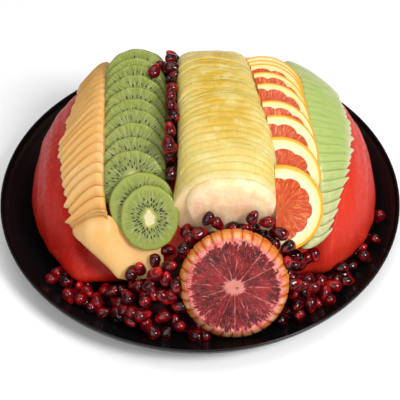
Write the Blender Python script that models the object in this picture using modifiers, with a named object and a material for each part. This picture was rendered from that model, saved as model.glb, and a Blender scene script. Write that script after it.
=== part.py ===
"""A sliced fruit platter.

A round dark tray carries a peeled watermelon dome. Fanned rows of cantaloupe, kiwi, pineapple,
orange and honeydew run over the dome from the front to the back, pomegranate arils fill the
groove beside the kiwi and the foot of the dome, and a thick blood orange slice leans on the front.
Metres, +Z up, the origin at the middle of the tray's underside. The front is at -Y.
"""
import math
import random

import bmesh
import bpy
from mathutils import Matrix, Vector
from mathutils.bvhtree import BVHTree

# Clearance that touching pieces keep
GAP = 0.0004

# Tray
TRAY_RADIUS = 0.1525
TRAY_HEIGHT = 0.022
TRAY_FLOOR = 0.0028
TRAY_FLOOR_RADIUS = 0.112
TRAY_FOOT_RADIUS = 0.115
TRAY_SWEEP = 1.8
TRAY_LIP = 0.0013
TRAY_STEPS = 44

# Watermelon dome: half sizes about its middle, and the exponents that square its outlines
DOME_X = 0.003
DOME_Y = 0.004
DOME_HALF_WIDTH = 0.1325
DOME_FRONT = 0.102
DOME_BACK = 0.108
DOME_HEIGHT = 0.100
DOME_PLAN_POWER = 2.5
DOME_FRONT_POWER = 2.3
DOME_BACK_POWER = 2.6
DOME_FOOT = 0.0032
DOME_TUCK = 0.25
DOME_TUCK_HEIGHT = 0.022

# Swell of the dome's left front corner, low over the tray
SWELL_X = -0.086
SWELL_WIDTH = 0.021
SWELL_REACH = 0.0125
SWELL_TOP = 0.032
SWELL_RISE = 0.015

# Bed cut in the middle of the dome for the three tall rows; its shoulders rise under the melon rows
BED_Y = 0.015
BED_FRONT = 0.107
BED_BACK = 0.074
BED_HEIGHT = 0.070
BED_FRONT_POWER = 2.3
BED_BACK_POWER = 1.8
BED_SHOULDER = (0.002, -0.014)
BED_LEAST = ((0, 0.0810), (36, 0.0810), (50, 0.0730), (90, 0.0730), (92, 0.0), (180, 0.0))

# Outer edges of the melon rows, as (turn over the dome in degrees from the front foot, x)
CANTALOUPE_LEFT = ((0, -0.020), (17, -0.0556), (28, -0.079), (35, -0.0885), (49, -0.0925), (60, -0.0980),
                   (81, -0.1000), (97, -0.0960), (112, -0.0910), (180, -0.0850))
CANTALOUPE_RIGHT = ((0, -0.060), (33, -0.062), (44, -0.070), (56, -0.0724), (180, -0.0724))
HONEYDEW_LEFT = ((0, 0.068), (27, 0.074), (33, 0.0815), (42, 0.0862), (55, 0.0870), (66, 0.0860),
                 (78, 0.0840), (90, 0.0810), (102, 0.0790), (114, 0.0780), (124, 0.0705),
                 (135, 0.0685), (180, 0.0680))
HONEYDEW_RIGHT = ((0, 0.070), (28, 0.084), (33, 0.0886), (45, 0.096), (56, 0.101), (73, 0.1080),
                  (99, 0.1105), (116, 0.1060), (180, 0.1000))

# Cantaloupe and honeydew fans
MELON_LIFT = 0.0035
MELON_STEP = 0.0014
MELON_INNER_LIFT = 0.0055
MELON_UNDER = 0.0006
CANTALOUPE_SLICES = 27
CANTALOUPE_START = 45.6
CANTALOUPE_END = 163
CANTALOUPE_SKEW = ((45.6, 350), (52, 420))
HONEYDEW_SLICES = 28
HONEYDEW_START = 29
HONEYDEW_END = 163
HONEYDEW_SKEW = ((0, -260),)

# The last cantaloupe slice lies flat on the dome's front: x, then (y, z) of its upper edge,
# middle and lower edge
FRONT_SLICE = ((-0.0900, (-0.0640, 0.0490), (-0.0655, 0.0490), (-0.0668, 0.0478)),
               (-0.0790, (-0.0650, 0.0600), (-0.0730, 0.0545), (-0.0775, 0.0440)),
               (-0.0665, (-0.0660, 0.0620), (-0.0790, 0.0505), (-0.0860, 0.0360)),
               (-0.0580, (-0.0740, 0.0480), (-0.0845, 0.0385), (-0.0905, 0.0275)),
               (-0.0480, (-0.0785, 0.0400), (-0.0860, 0.0330), (-0.0915, 0.0255)),
               (-0.0360, (-0.0800, 0.0395), (-0.0855, 0.0340), (-0.0905, 0.0270)),
               (-0.0260, (-0.0800, 0.0400), (-0.0845, 0.0350), (-0.0890, 0.0290)))
FRONT_SLICE_THICKNESS = 0.0030

# Kiwi row: (y, z, tilt in degrees, x) of the upper rim of each round slice, from the back foot to the front
KIWI_RADIUS = 0.02375
KIWI_THICKNESS = 0.0036
KIWI_ROW = (
    (0.0977, 0.0171, -56, -0.0478), (0.1, 0.0392, -38, -0.0478), (0.0984, 0.059, -21, -0.0478),
    (0.0932, 0.076, -6, -0.0478), (0.083, 0.093, 12, -0.0478), (0.066, 0.107, 30.4, -0.0478),
    (0.0551, 0.1077, 32.7, -0.0478), (0.0465, 0.1084, 34.4, -0.0478), (0.0352, 0.1084, 36.7, -0.0478),
    (0.0231, 0.1074, 39.2, -0.0478), (0.0124, 0.1059, 41.4, -0.0478), (0.0025, 0.1044, 43.4, -0.0478),
    (-0.0088, 0.1018, 45.7, -0.0478), (-0.0198, 0.0986, 47.3, -0.0478), (-0.0302, 0.095, 48.7, -0.0478),
    (-0.045, 0.088, 50.8, -0.041), (-0.0545, 0.0847, 52.0, -0.0357))

# Orange row: the same with the sideways roll of each slice; the pineapple hides their left part
ORANGE_RADIUS = 0.0312
ORANGE_THICKNESS = 0.0040
ORANGE_ROW = (
    (0.0967, 0.0361, -31, 0.035, 0), (0.0913, 0.061, -14, 0.0355, 0), (0.0811, 0.086, 6, 0.0362, 0),
    (0.06, 0.1057, 26.7, 0.0465, 0), (0.0518, 0.1089, 28.5, 0.0465, 1), (0.0442, 0.112, 30.2, 0.0465, 2),
    (0.0328, 0.1138, 32.7, 0.0478, 4), (0.02, 0.1145, 35.5, 0.0498, 6), (0.003, 0.113, 39.2, 0.0525, 7),
    (-0.0108, 0.1118, 42.2, 0.0546, 8), (-0.028, 0.1068, 45.3, 0.0558, 8), (-0.048, 0.0986, 49.0, 0.0568, 9))

# Pineapple row: its side walls as (y, x), its crest, and the lean of its slices from front to back
PINEAPPLE_LEFT = ((-0.072, -0.0140), (-0.045, -0.0152), (-0.025, -0.0160), (0.040, -0.0178),
                  (0.105, -0.0184))
PINEAPPLE_RIGHT = ((-0.072, 0.0560), (-0.038, 0.0540), (-0.019, 0.0515), (0.005, 0.0460),
                   (0.054, 0.0375), (0.105, 0.0330))
PINEAPPLE_SLICES = 33
PINEAPPLE_FACE = -0.070
PINEAPPLE_HEIGHT = 0.1150
PINEAPPLE_FRONT = 0.112
PINEAPPLE_FLAT = 0.014
PINEAPPLE_BACK = 0.082
PINEAPPLE_FRONT_POWER = 2.3
PINEAPPLE_BACK_POWER = 3.0
PINEAPPLE_TILT = (90, 0)
PINEAPPLE_STEP = 0.0010
PINEAPPLE_FACE_DEPTH = 0.040
PINEAPPLE_FACE_FOOT = 0.8
PINEAPPLE_ARCH_POWER = (2.2, 4.0)

# Blood orange slice
BLOOD_FACE_RADIUS = 0.0320
BLOOD_BACK_RADIUS = 0.0390
BLOOD_THICKNESS = 0.0140
BLOOD_BULGE = 0.0012
BLOOD_FOOT = (0.0240, -0.1315, 0.0092)
BLOOD_TILT = 50
BLOOD_STEPS = 36

# Arils
ARIL_LENGTH = 0.0118
ARIL_WIDTH = 0.0080
GROOVE_LEFT = -0.0234
GROOVE_BACK = 0.084
GROOVE_FRONT = -0.036
GROOVE_DEPTH = 0.009
HEAP_SPACING = 0.0089
HEAP_STATIONS = 17
# Foot of the heap on the tray, as (azimuth in degrees, radius)
HEAP_FOOT = ((-146, 0.130), (-60, 0.130), (-45, 0.1315), (-32, 0.1335))
# Height of the heap against the dome, as (azimuth in degrees, z)
HEAP_TOP = ((-146, 0.0105), (-130, 0.0110), (-125, 0.0135), (-119, 0.021), (-112, 0.031), (-106, 0.041),
            (-99, 0.052), (-92, 0.0575), (-70, 0.0575), (-63, 0.046), (-57, 0.036), (-51, 0.023),
            (-44, 0.0135), (-32, 0.0125))
# Single arils: on the pineapple's face, at the groove's end and on the tray's right side
LOOSE_ARILS = ((0.0058, -0.0752, 0.0720), (0.0128, -0.0752, 0.0665), (0.0372, -0.0752, 0.0735),
               (0.0466, -0.0752, 0.0680), (-0.0200, -0.0460, 0.0880), (0.1219, -0.0622, 0.0158),
               (0.1290, -0.0462, 0.0168), (0.1358, -0.0234, 0.0167))

model = bpy.data.collections.new("fruit_platter")


def along(stations, at):
    """Value at a place on a table of (place, value) pairs, straight between them."""
    pairs = sorted(stations)
    if at <= pairs[0][0]:
        return pairs[0][1]
    for (a, low), (b, high) in zip(pairs, pairs[1:]):
        if at <= b:
            return low + (high - low) * (at - a) / (b - a)
    return pairs[-1][1]


def smooth(value):
    """Smooth step from 0 to 1."""
    t = min(1.0, max(0.0, value))
    return t * t * (3 - 2 * t)


def material(name, colour, roughness=0.35, metallic=0.0):
    """Plain Principled material."""
    made = bpy.data.materials.new(name)
    made.use_nodes = True
    shader = made.node_tree.nodes["Principled BSDF"]
    shader.inputs["Base Color"].default_value = (*colour, 1)
    shader.inputs["Roughness"].default_value = roughness
    shader.inputs["Metallic"].default_value = metallic
    return made


def add_object(name, mesh, paint, collection=None):
    """Object of a mesh in the model's collection."""
    made = bpy.data.objects.new(name, mesh)
    if paint is not None:
        mesh.materials.append(paint)
    (collection or model).objects.link(made)
    return made


def mesh_of(bm, name):
    """Finish a bmesh as a closed mesh whose faces point out."""
    bmesh.ops.recalc_face_normals(bm, faces=bm.faces)
    mesh = bpy.data.meshes.new(name)
    bm.to_mesh(mesh)
    bm.free()
    return mesh


def shade(mesh, angle=35):
    """Smooth shading that keeps edges sharper than an angle."""
    mesh.shade_smooth()
    mesh.set_sharp_from_angle(angle=math.radians(angle))


def loft(name, rings):
    """Closed skin over a run of rings with equal numbers of points."""
    bm = bmesh.new()
    rows = [[bm.verts.new(point) for point in ring] for ring in rings]
    for row, following in zip(rows, rows[1:]):
        for i in range(len(row)):
            j = (i + 1) % len(row)
            bm.faces.new((row[i], row[j], following[j], following[i]))
    bm.faces.new(rows[0])
    bm.faces.new(rows[-1])
    bmesh.ops.remove_doubles(bm, verts=bm.verts, dist=0.00002)
    bmesh.ops.triangulate(bm, faces=bm.faces)
    return mesh_of(bm, name)


# ---------------------------------------------------------------- tray

def tray_inner(radius):
    """Height of the tray's inner face at a radius."""
    if radius <= TRAY_FLOOR_RADIUS:
        return TRAY_FLOOR
    rise = (radius - TRAY_FLOOR_RADIUS) / (TRAY_RADIUS - TRAY_FLOOR_RADIUS)
    return TRAY_FLOOR + (TRAY_HEIGHT - TRAY_LIP - TRAY_FLOOR) * rise ** TRAY_SWEEP


def build_tray(paint):
    """Turned tray: flat floor, swept side and a small rolled lip."""
    sweep = TRAY_RADIUS - 0.0022 - TRAY_FLOOR_RADIUS
    radii = [TRAY_FLOOR_RADIUS + sweep * (i / 6) ** 0.8 for i in range(7)]
    profile = [(0.0, TRAY_FLOOR)] + [(r, tray_inner(r)) for r in radii]
    profile += [(TRAY_RADIUS - 0.0016, TRAY_HEIGHT - 0.0004), (TRAY_RADIUS - 0.0008, TRAY_HEIGHT),
                (TRAY_RADIUS, TRAY_HEIGHT - 0.0008), (TRAY_RADIUS - 0.0004, TRAY_HEIGHT - 0.0032)]
    profile += [(0.1420, 0.0098), (0.1300, 0.0036), (TRAY_FOOT_RADIUS, 0.0), (0.0, 0.0)]
    mesh = bpy.data.meshes.new("tray")
    mesh.from_pydata([(x, 0, z) for x, z in profile], [(i, i + 1) for i in range(len(profile) - 1)], [])
    tray = add_object("tray", mesh, paint)
    screw = tray.modifiers.new("Screw", "SCREW")
    screw.steps = screw.render_steps = TRAY_STEPS
    screw.use_merge_vertices = True
    screw.merge_threshold = 0.0001
    screw.use_smooth_shade = True
    return tray


# ---------------------------------------------------------------- watermelon dome

def bow(turn, middle, front, back, height, powers):
    """Point of a squared half ellipse over the Y axis at a turn, as (y, z)."""
    run = -math.cos(math.radians(turn))
    rise = math.sin(math.radians(turn))
    reach, power = (front, powers[0]) if run < 0 else (back, powers[1])
    size = (abs(run) ** power + abs(rise) ** power) ** (-1 / power)
    return middle + reach * size * run, height * size * rise


def dome_point(x, turn, bed=False):
    """Point of the dome at x and a turn over it, 0 at the front foot and 180 at the back."""
    share = min(0.9999, abs(x - DOME_X) / DOME_HALF_WIDTH)
    scale = (1 - share ** DOME_PLAN_POWER) ** (1 / DOME_PLAN_POWER)
    y, z = bow(turn, DOME_Y, DOME_FRONT * scale, DOME_BACK * scale, DOME_HEIGHT * scale,
               (DOME_FRONT_POWER, DOME_BACK_POWER))
    if bed:
        low_y, low_z = bow(turn, BED_Y, BED_FRONT * scale, BED_BACK * scale, BED_HEIGHT * scale,
                           (BED_FRONT_POWER, BED_BACK_POWER))
        edge = along(HONEYDEW_LEFT, turn) if x > DOME_X else -along(CANTALOUPE_RIGHT, turn)
        past = abs(x) - max(along(BED_LEAST, turn), edge)
        inside = smooth((past + BED_SHOULDER[1]) / (BED_SHOULDER[1] - BED_SHOULDER[0]))
        y += (low_y - y) * inside
        z += (low_z - z) * inside
    z = DOME_FOOT + z * (1 - DOME_FOOT / DOME_HEIGHT)
    if turn < 90:
        swell = SWELL_REACH * math.exp(-((x - SWELL_X) / SWELL_WIDTH) ** 2)
        y -= swell * smooth((SWELL_TOP - z) / SWELL_RISE)
    return Vector((x, y, z))


def build_watermelon(paint):
    """Loft of the bedded dome along X, drawn in near the tray."""
    columns, turns = 27, 24
    rings = []
    for i in range(1, columns):
        x = DOME_X - DOME_HALF_WIDTH * math.cos(math.pi * i / columns)
        ring = []
        for j in range(turns + 1):
            point = dome_point(x, 180 * j / turns, True)
            low = max(0.0, 1 - point.z / DOME_TUCK_HEIGHT)
            tuck = 1 - DOME_TUCK * low * low
            point.x = DOME_X + (point.x - DOME_X) * tuck
            point.y = DOME_Y + (point.y - DOME_Y) * tuck
            ring.append(point)
        rings.append(ring)
    mesh = loft("watermelon_dome", rings)
    shade(mesh, 50)
    return add_object("watermelon_dome", mesh, paint)


# ---------------------------------------------------------------- fanned melon rows

def dome_normal(x, turn):
    """Outward normal of the whole dome."""
    across = dome_point(x + 0.0005, turn) - dome_point(x - 0.0005, turn)
    forward = dome_point(x, turn + 0.5) - dome_point(x, turn - 0.5)
    return across.cross(forward).normalized()


def fan_ring(sides, turn, skew, lift, tooth):
    """Closed ring across a row: its top from the inner to the outer edge, then its underside."""
    columns = 5
    inner, outer = (along(side, turn) for side in sides)
    top, under = [], []
    for i in range(columns + 1):
        share = i / columns
        reach = share + tooth * share * share / abs(outer - inner)
        slant = min(179.0, max(10.0, turn - along(skew, turn) * abs(outer - inner) * reach))
        x = along(sides[0], slant) * (1 - reach) + along(sides[1], slant) * reach
        normal = dome_normal(x, slant)
        raised = MELON_INNER_LIFT * (0.35 + 0.65 * smooth((slant - 60) / 40)) * (1 - share) ** 1.5
        top.append(dome_point(x, slant) + normal * (lift * (1 - 0.3 * share ** 4) + raised))
        under.append(dome_point(x, slant) + normal * MELON_UNDER)
    return top + under[::-1]


def build_fan(name, paint, sides, slices, start, end, skew):
    """Row of thin slices fused as one stepped band, each slice lying on the one behind it."""
    random.seed(len(name))
    pitch = (end - start) / slices
    rings = []
    for i in range(slices):
        turn = end - pitch * i
        tooth = 0.0014 + 0.0014 * random.random()
        rings.append(fan_ring(sides, turn, skew, MELON_LIFT + MELON_STEP, tooth))
        rings.append(fan_ring(sides, turn - pitch + 0.15, skew, MELON_LIFT - MELON_STEP, tooth * 0.1))
    return add_object(name, loft(name, rings), paint)


def build_front_slice(paint):
    """Flat cantaloupe slice bent over the dome's front, as a solid of even thickness."""
    bm = bmesh.new()
    rows = []
    for x, upper, middle, lower in FRONT_SLICE:
        row = []
        for i in range(6):
            t = i / 5
            weights = (2 * (t - 0.5) * (t - 1), -4 * t * (t - 1), 2 * t * (t - 0.5))
            y = sum(w * spot[0] for w, spot in zip(weights, (upper, middle, lower)))
            z = sum(w * spot[1] for w, spot in zip(weights, (upper, middle, lower)))
            row.append(bm.verts.new((x, y, z)))
        rows.append(row)
    for row, following in zip(rows, rows[1:]):
        for i in range(len(row) - 1):
            bm.faces.new((row[i], row[i + 1], following[i + 1], following[i]))
    mesh = bpy.data.meshes.new("cantaloupe_front_slice")
    bm.to_mesh(mesh)
    bm.free()
    piece = add_object("cantaloupe_front_slice", mesh, paint)
    solid = piece.modifiers.new("Solidify", "SOLIDIFY")
    solid.thickness = FRONT_SLICE_THICKNESS
    solid.offset = 1
    return piece


# ---------------------------------------------------------------- round slices

def slice_frame(x, y, z, tilt, roll, radius, thickness):
    """Frame of a round slice whose upper rim touches (y, z) and whose face looks to the front."""
    back = Vector((0, math.cos(math.radians(tilt)), math.sin(math.radians(tilt))))
    face = Matrix.Rotation(math.radians(roll), 3, back) @ Vector((0, -back.z, back.y))
    middle = Vector((x, y, z)) - back * radius - face * thickness / 2
    frame = Matrix((back.cross(face), back, face)).transposed().to_4x4()
    frame.translation = middle
    return frame


def disc(radius, thickness, sides):
    """Flat round slice about its own Z."""
    bm = bmesh.new()
    bmesh.ops.create_cone(bm, cap_ends=True, segments=sides, radius1=radius, radius2=radius,
                          depth=thickness)
    return bm


def build_kiwi(paint):
    """Row of round slices from the back foot of the dome to its front."""
    for i, (y, z, tilt, x) in enumerate(KIWI_ROW):
        bm = disc(KIWI_RADIUS, KIWI_THICKNESS, 20)
        if i == len(KIWI_ROW) - 1:
            bmesh.ops.scale(bm, vec=(0.88, 1, 1), verts=bm.verts)
        mesh = mesh_of(bm, f"kiwi_{i + 1:02d}")
        shade(mesh)
        piece = add_object(mesh.name, mesh, paint)
        piece.matrix_world = slice_frame(x, y, z, tilt, 0, KIWI_RADIUS, KIWI_THICKNESS)


def build_oranges(paint):
    """Row of orange slices, each cut along the pineapple's side wall."""
    for i, (y, z, tilt, x, roll) in enumerate(ORANGE_ROW):
        frame = slice_frame(x, y, z, tilt, roll, ORANGE_RADIUS, ORANGE_THICKNESS)
        bm = disc(ORANGE_RADIUS, ORANGE_THICKNESS, 24)
        low = y - 2 * ORANGE_RADIUS * math.cos(math.radians(tilt))
        spots = [low + (y - low) * k / 8 for k in range(9)]
        first, last = along(PINEAPPLE_RIGHT, low), along(PINEAPPLE_RIGHT, y)
        bulge = max(along(PINEAPPLE_RIGHT, spot) - first - (last - first) * k / 8
                    for k, spot in enumerate(spots))
        normal = Vector((low - y, last - first, 0)).normalized()
        place = Vector((first + bulge + GAP * 2, low, 0))
        back = frame.inverted()
        bmesh.ops.bisect_plane(bm, geom=bm.verts[:] + bm.edges[:] + bm.faces[:], plane_co=back @ place,
                               plane_no=back.to_3x3() @ normal, clear_outer=True)
        bmesh.ops.holes_fill(bm, edges=[edge for edge in bm.edges if edge.is_boundary])
        mesh = mesh_of(bm, f"orange_{i + 1:02d}")
        shade(mesh)
        piece = add_object(mesh.name, mesh, paint)
        piece.matrix_world = frame


# ---------------------------------------------------------------- pineapple

def pineapple_path():
    """Crest of the pineapple row from the back foot to its upright front face, as (y, z)."""
    path = []
    powers = (PINEAPPLE_FRONT_POWER, PINEAPPLE_BACK_POWER)
    for turn in range(178, 89, -2):
        path.append(bow(turn, PINEAPPLE_FLAT, 1, PINEAPPLE_BACK, PINEAPPLE_HEIGHT, powers))
    for turn in range(90, 0, -1):
        y, z = bow(turn, 0.0, PINEAPPLE_FRONT, 1, PINEAPPLE_HEIGHT, powers)
        if y < PINEAPPLE_FACE:
            break
        path.append((y, z))
    return path


def walk(path, share):
    """Point a share of the way along a path."""
    steps = [math.dist(a, b) for a, b in zip(path, path[1:])]
    left = sum(steps) * share
    for (a, b), step in zip(zip(path, path[1:]), steps):
        if left <= step and step > 0:
            return a[0] + (b[0] - a[0]) * left / step, a[1] + (b[1] - a[1]) * left / step
        left -= step
    return path[-1]


def pineapple_ring(bed, path, share, lift):
    """Arch across the row in a leaning plane, standing on the bed."""
    y, z = walk(path, share)
    tilt = math.radians(PINEAPPLE_TILT[1] + (PINEAPPLE_TILT[0] - PINEAPPLE_TILT[1]) * share)
    up = Vector((0, math.cos(tilt), math.sin(tilt)))
    left, right = along(PINEAPPLE_LEFT, y), along(PINEAPPLE_RIGHT, y)
    middle, half = (left + right) / 2, (right - left) / 2
    top = Vector((middle, y, z)) + up * lift
    depth = 0.060
    for k in range(5):
        hit, _, _, reach = bed.ray_cast(Vector((left + half * k / 2, top.y, top.z)), -up)
        if hit:
            depth = min(depth, reach - 0.0018)
    depth = min(depth, PINEAPPLE_FACE_DEPTH + (1 - share) * 0.14)
    toward_face = smooth((share - 0.80) / 0.20)
    power = PINEAPPLE_ARCH_POWER[1] + (PINEAPPLE_ARCH_POWER[0] - PINEAPPLE_ARCH_POWER[1]) * toward_face
    arch = min(depth * 0.97, half * (0.7 + 0.3 * toward_face))
    points = []
    for i in range(9):
        across, rise = -math.cos(math.pi * i / 8), math.sin(math.pi * i / 8)
        size = (abs(across) ** power + abs(rise) ** power) ** (-1 / power)
        points.append(top + Vector((half * size * across, 0, 0)) - up * arch * (1 - size * rise))
    foot = 1 + (PINEAPPLE_FACE_FOOT - 1) * toward_face
    for across in (foot, 0, -foot):
        points.append(top + Vector((half * across, 0, 0)) - up * depth)
    return points


def build_pineapple(paint, bed):
    """Row of thin half-round slices fused as one stepped arch."""
    random.seed(5)
    path = pineapple_path()
    rings = []
    for i in range(PINEAPPLE_SLICES):
        lift = PINEAPPLE_STEP * (0.3 + 0.7 * random.random())
        rings.append(pineapple_ring(bed, path, i / PINEAPPLE_SLICES, lift - PINEAPPLE_STEP))
        rings.append(pineapple_ring(bed, path, (i + 0.93) / PINEAPPLE_SLICES, lift))
    return add_object("pineapple_fan", loft("pineapple_fan", rings), paint)


# ---------------------------------------------------------------- blood orange

def build_blood_orange(paint):
    """Thick slice turned from its half outline, narrower at its face than at its back."""
    profile = [(0.0, 0.0), (BLOOD_FACE_RADIUS - 0.001, 0.0), (BLOOD_FACE_RADIUS, -0.0006)]
    for share in (0.25, 0.5, 0.75, 1.0):
        radius = BLOOD_FACE_RADIUS + (BLOOD_BACK_RADIUS - BLOOD_FACE_RADIUS) * share
        profile.append((radius + BLOOD_BULGE * math.sin(math.pi * share), -BLOOD_THICKNESS * share))
    profile.append((0.0, -BLOOD_THICKNESS))
    mesh = bpy.data.meshes.new("blood_orange_slice")
    mesh.from_pydata([(x, 0, z) for x, z in profile], [(i, i + 1) for i in range(len(profile) - 1)], [])
    piece = add_object("blood_orange_slice", mesh, paint)
    screw = piece.modifiers.new("Screw", "SCREW")
    screw.steps = screw.render_steps = BLOOD_STEPS
    screw.use_merge_vertices = True
    screw.merge_threshold = 0.0001
    screw.use_smooth_shade = True
    tilt = math.radians(BLOOD_TILT)
    back = Vector((0, math.cos(tilt), math.sin(tilt)))
    face = Vector((0, -back.z, back.y))
    frame = Matrix((Vector((1, 0, 0)), back, face)).transposed().to_4x4()
    frame.translation = Vector(BLOOD_FOOT) + back * BLOOD_BACK_RADIUS + face * BLOOD_THICKNESS
    piece.matrix_world = frame
    return piece


# ---------------------------------------------------------------- arils

def aril(place, turn, size=1.0):
    """Faceted teardrop at a place, its long axis turned by a rotation."""
    bm = bmesh.new()
    bmesh.ops.create_uvsphere(bm, u_segments=5, v_segments=3, radius=1)
    for vert in bm.verts:
        taper = 1 - 0.2 * vert.co.z
        vert.co.x *= taper * ARIL_WIDTH / 2 * 1.12
        vert.co.y *= taper * ARIL_WIDTH / 2
        vert.co.z *= ARIL_LENGTH / 2
    frame = Matrix.Translation(place) @ turn.to_4x4() @ Matrix.Scale(size, 4)
    bmesh.ops.transform(bm, matrix=frame, verts=bm.verts)
    return bm


def tree_of(pieces):
    """One search tree over the evaluated meshes of several objects, in world space."""
    graph = bpy.context.evaluated_depsgraph_get()
    joined = bmesh.new()
    for piece in pieces:
        evaluated = piece.evaluated_get(graph)
        mesh = bpy.data.meshes.new_from_object(evaluated)
        mesh.transform(piece.matrix_world)
        joined.from_mesh(mesh)
        bpy.data.meshes.remove(mesh)
    tree = BVHTree.FromBMesh(joined)
    joined.free()
    return tree


def clear_of(place, turn, size, tree):
    """Whether an aril, taken slightly larger, stays off a tree."""
    grown = aril(place, turn, size * 1.12)
    near = BVHTree.FromBMesh(grown).overlap(tree)
    grown.free()
    return not near


def fuse(core, pieces):
    """Join loose pieces to a core with one Boolean union and drop the loose objects."""
    group = bpy.data.collections.new(core.name + "_pieces")
    bpy.context.scene.collection.children.link(group)
    for i, bm in enumerate(pieces):
        add_object(f"{core.name}_{i}", mesh_of(bm, "aril"), None, group)
    union = core.modifiers.new("Union", "BOOLEAN")
    union.operation = "UNION"
    union.operand_type = "COLLECTION"
    union.collection = group
    union.solver = "MANIFOLD"
    graph = bpy.context.evaluated_depsgraph_get()
    core.data = bpy.data.meshes.new_from_object(core.evaluated_get(graph))
    core.modifiers.remove(union)
    for piece in list(group.objects):
        bpy.data.objects.remove(piece)
    bpy.data.collections.remove(group)


def any_turn():
    """Random rotation."""
    axis = Vector((random.gauss(0, 1), random.gauss(0, 1), random.gauss(0, 0.5))).normalized()
    return Matrix.Rotation(random.uniform(1.0, 2.2), 3, axis)


def build_groove(paint, bed, others):
    """Arils filling the groove between the kiwi and the pineapple, fused on a hidden strip."""
    random.seed(21)
    path = pineapple_path()
    rings, line = [], []
    stations = 15
    for i in range(stations):
        y = GROOVE_BACK + (GROOVE_FRONT - GROOVE_BACK) * i / (stations - 1)
        top = along(path, y) - GROOVE_DEPTH
        right = along(PINEAPPLE_LEFT, y + 0.010) - GAP * 2
        low = along(PINEAPPLE_LEFT, y + 0.050) - GAP * 2
        hit = bed.ray_cast(Vector((GROOVE_LEFT, y, 0.2)), Vector((0, 0, -1)))[0]
        other = bed.ray_cast(Vector((low, y, 0.2)), Vector((0, 0, -1)))[0]
        foot = max(hit.z, other.z) + 0.0018
        rings.append([Vector((GROOVE_LEFT, y, foot)), Vector((low, y, foot)), Vector((right, y, top)),
                      Vector((GROOVE_LEFT, y, top))])
        line.append(((GROOVE_LEFT + right) / 2, y, top))
    mesh = loft("pomegranate_line", rings)
    core = add_object("pomegranate_line", mesh, paint)
    pieces = []
    y = GROOVE_BACK - 0.006
    while y > GROOVE_FRONT + 0.002:
        x = along([(at, across) for across, at, _ in line], y)
        z = along([(at, top) for _, at, top in line], y) + 0.0022
        for lift in (0.0, 0.0012, 0.0024):
            turn = any_turn()
            place = Vector((x + random.uniform(-0.0006, 0.0006), y, z + lift))
            size = 0.86 + 0.1 * random.random()
            if clear_of(place, turn, size, others):
                pieces.append(aril(place, turn, size))
                break
        y -= 0.0056 + 0.0014 * random.random()
    fuse(core, pieces)


def reach_in(wall, azimuth, height):
    """Radius at which the fruit's side is met from outside, taken at its widest over a short arc."""
    widest = 0.0
    for shift in (-5, -2.5, 0, 2.5, 5):
        for rise in (-0.006, -0.003, -0.001, 0.0015):
            angle = math.radians(azimuth + shift)
            direction = Vector((math.cos(angle), math.sin(angle), 0))
            hit = wall.ray_cast(direction * 0.2 + Vector((0, 0, height + rise)), -direction)[0]
            if hit:
                widest = max(widest, hit.to_2d().length)
    return widest + 0.0014


def behind_blood_orange(point, direction):
    """Draw a point inward until it is behind the leaning slice's back."""
    if abs(point.x - BLOOD_FOOT[0]) > BLOOD_BACK_RADIUS + 0.007:
        return point
    tilt = math.radians(BLOOD_TILT)
    face = Vector((0, -math.sin(tilt), math.cos(tilt)))
    excess = face.dot(point - Vector(BLOOD_FOOT)) + 0.0009
    if excess > 0:
        point = point - direction * (excess / face.dot(direction))
    return point


def heap_ring(wall, azimuth):
    """Section of the heap's hidden core: the fruit's side, its own slope and the tray under it."""
    angle = math.radians(azimuth)
    direction = Vector((math.cos(angle), math.sin(angle), 0))
    top = along(HEAP_TOP, azimuth)
    base = reach_in(wall, azimuth, min(top, DOME_TUCK_HEIGHT))
    rim = along(HEAP_FOOT, azimuth)
    foot = tray_inner(rim) + GAP * 2
    points = [direction * base + Vector((0, 0, tray_inner(base) + GAP * 2))]
    for share in (0.34, 0.67, 1.0):
        height = points[0].z + (top - points[0].z) * share
        points.append(direction * reach_in(wall, azimuth, height) + Vector((0, 0, height)))
    high = points[-1].to_2d().length + 0.002
    for share in (0.0, 0.35, 0.72):
        radius = high + (rim - high) * share
        height = foot + (top - foot) * (1 - share ** 1.6) ** 0.83
        points.append(behind_blood_orange(direction * radius + Vector((0, 0, height)), direction))
    points.append(direction * rim + Vector((0, 0, foot + 0.0022)))
    points.append(direction * rim + Vector((0, 0, foot)))
    middle = (base + rim) / 2
    points.append(direction * middle + Vector((0, 0, tray_inner(middle) + GAP * 2)))
    return points


def build_heap(paint, wall, others):
    """Arils heaped along the dome's front foot, fused on a hidden core."""
    random.seed(11)
    stations = HEAP_STATIONS
    first, last = HEAP_TOP[0][0], HEAP_TOP[-1][0]
    rings = [heap_ring(wall, first + (last - first) * i / (stations - 1)) for i in range(stations)]
    mesh = loft("pomegranate_heap", rings)
    core = add_object("pomegranate_heap", mesh, paint)
    surface = tree_of([core])
    pieces = []
    inset = 0.062
    while inset > -0.004:
        azimuth = math.radians(first) + 0.02
        while azimuth < math.radians(last):
            rim = along(HEAP_FOOT, math.degrees(azimuth))
            away = rim - inset + random.uniform(-0.0014, 0.0014)
            direction = Vector((math.cos(azimuth), math.sin(azimuth), 0))
            above = direction * min(away, rim - 0.0002) + Vector((0, 0, 0.12))
            hit, normal, _, _ = surface.ray_cast(above, Vector((0, 0, -1)))
            turn = any_turn()
            size = 0.9 + 0.15 * random.random()
            place = hit + normal * 0.0022 if hit else Vector()
            if inset < 0.0015:
                place = direction * (rim + 0.0016) + Vector((0, 0, tray_inner(rim + 0.0016) + 0.0056))
            if hit and clear_of(place, turn, size, others):
                pieces.append(aril(place, turn, size))
            azimuth += HEAP_SPACING / away * random.uniform(0.85, 1.15)
        inset -= HEAP_SPACING * 0.9
    fuse(core, pieces)


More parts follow.
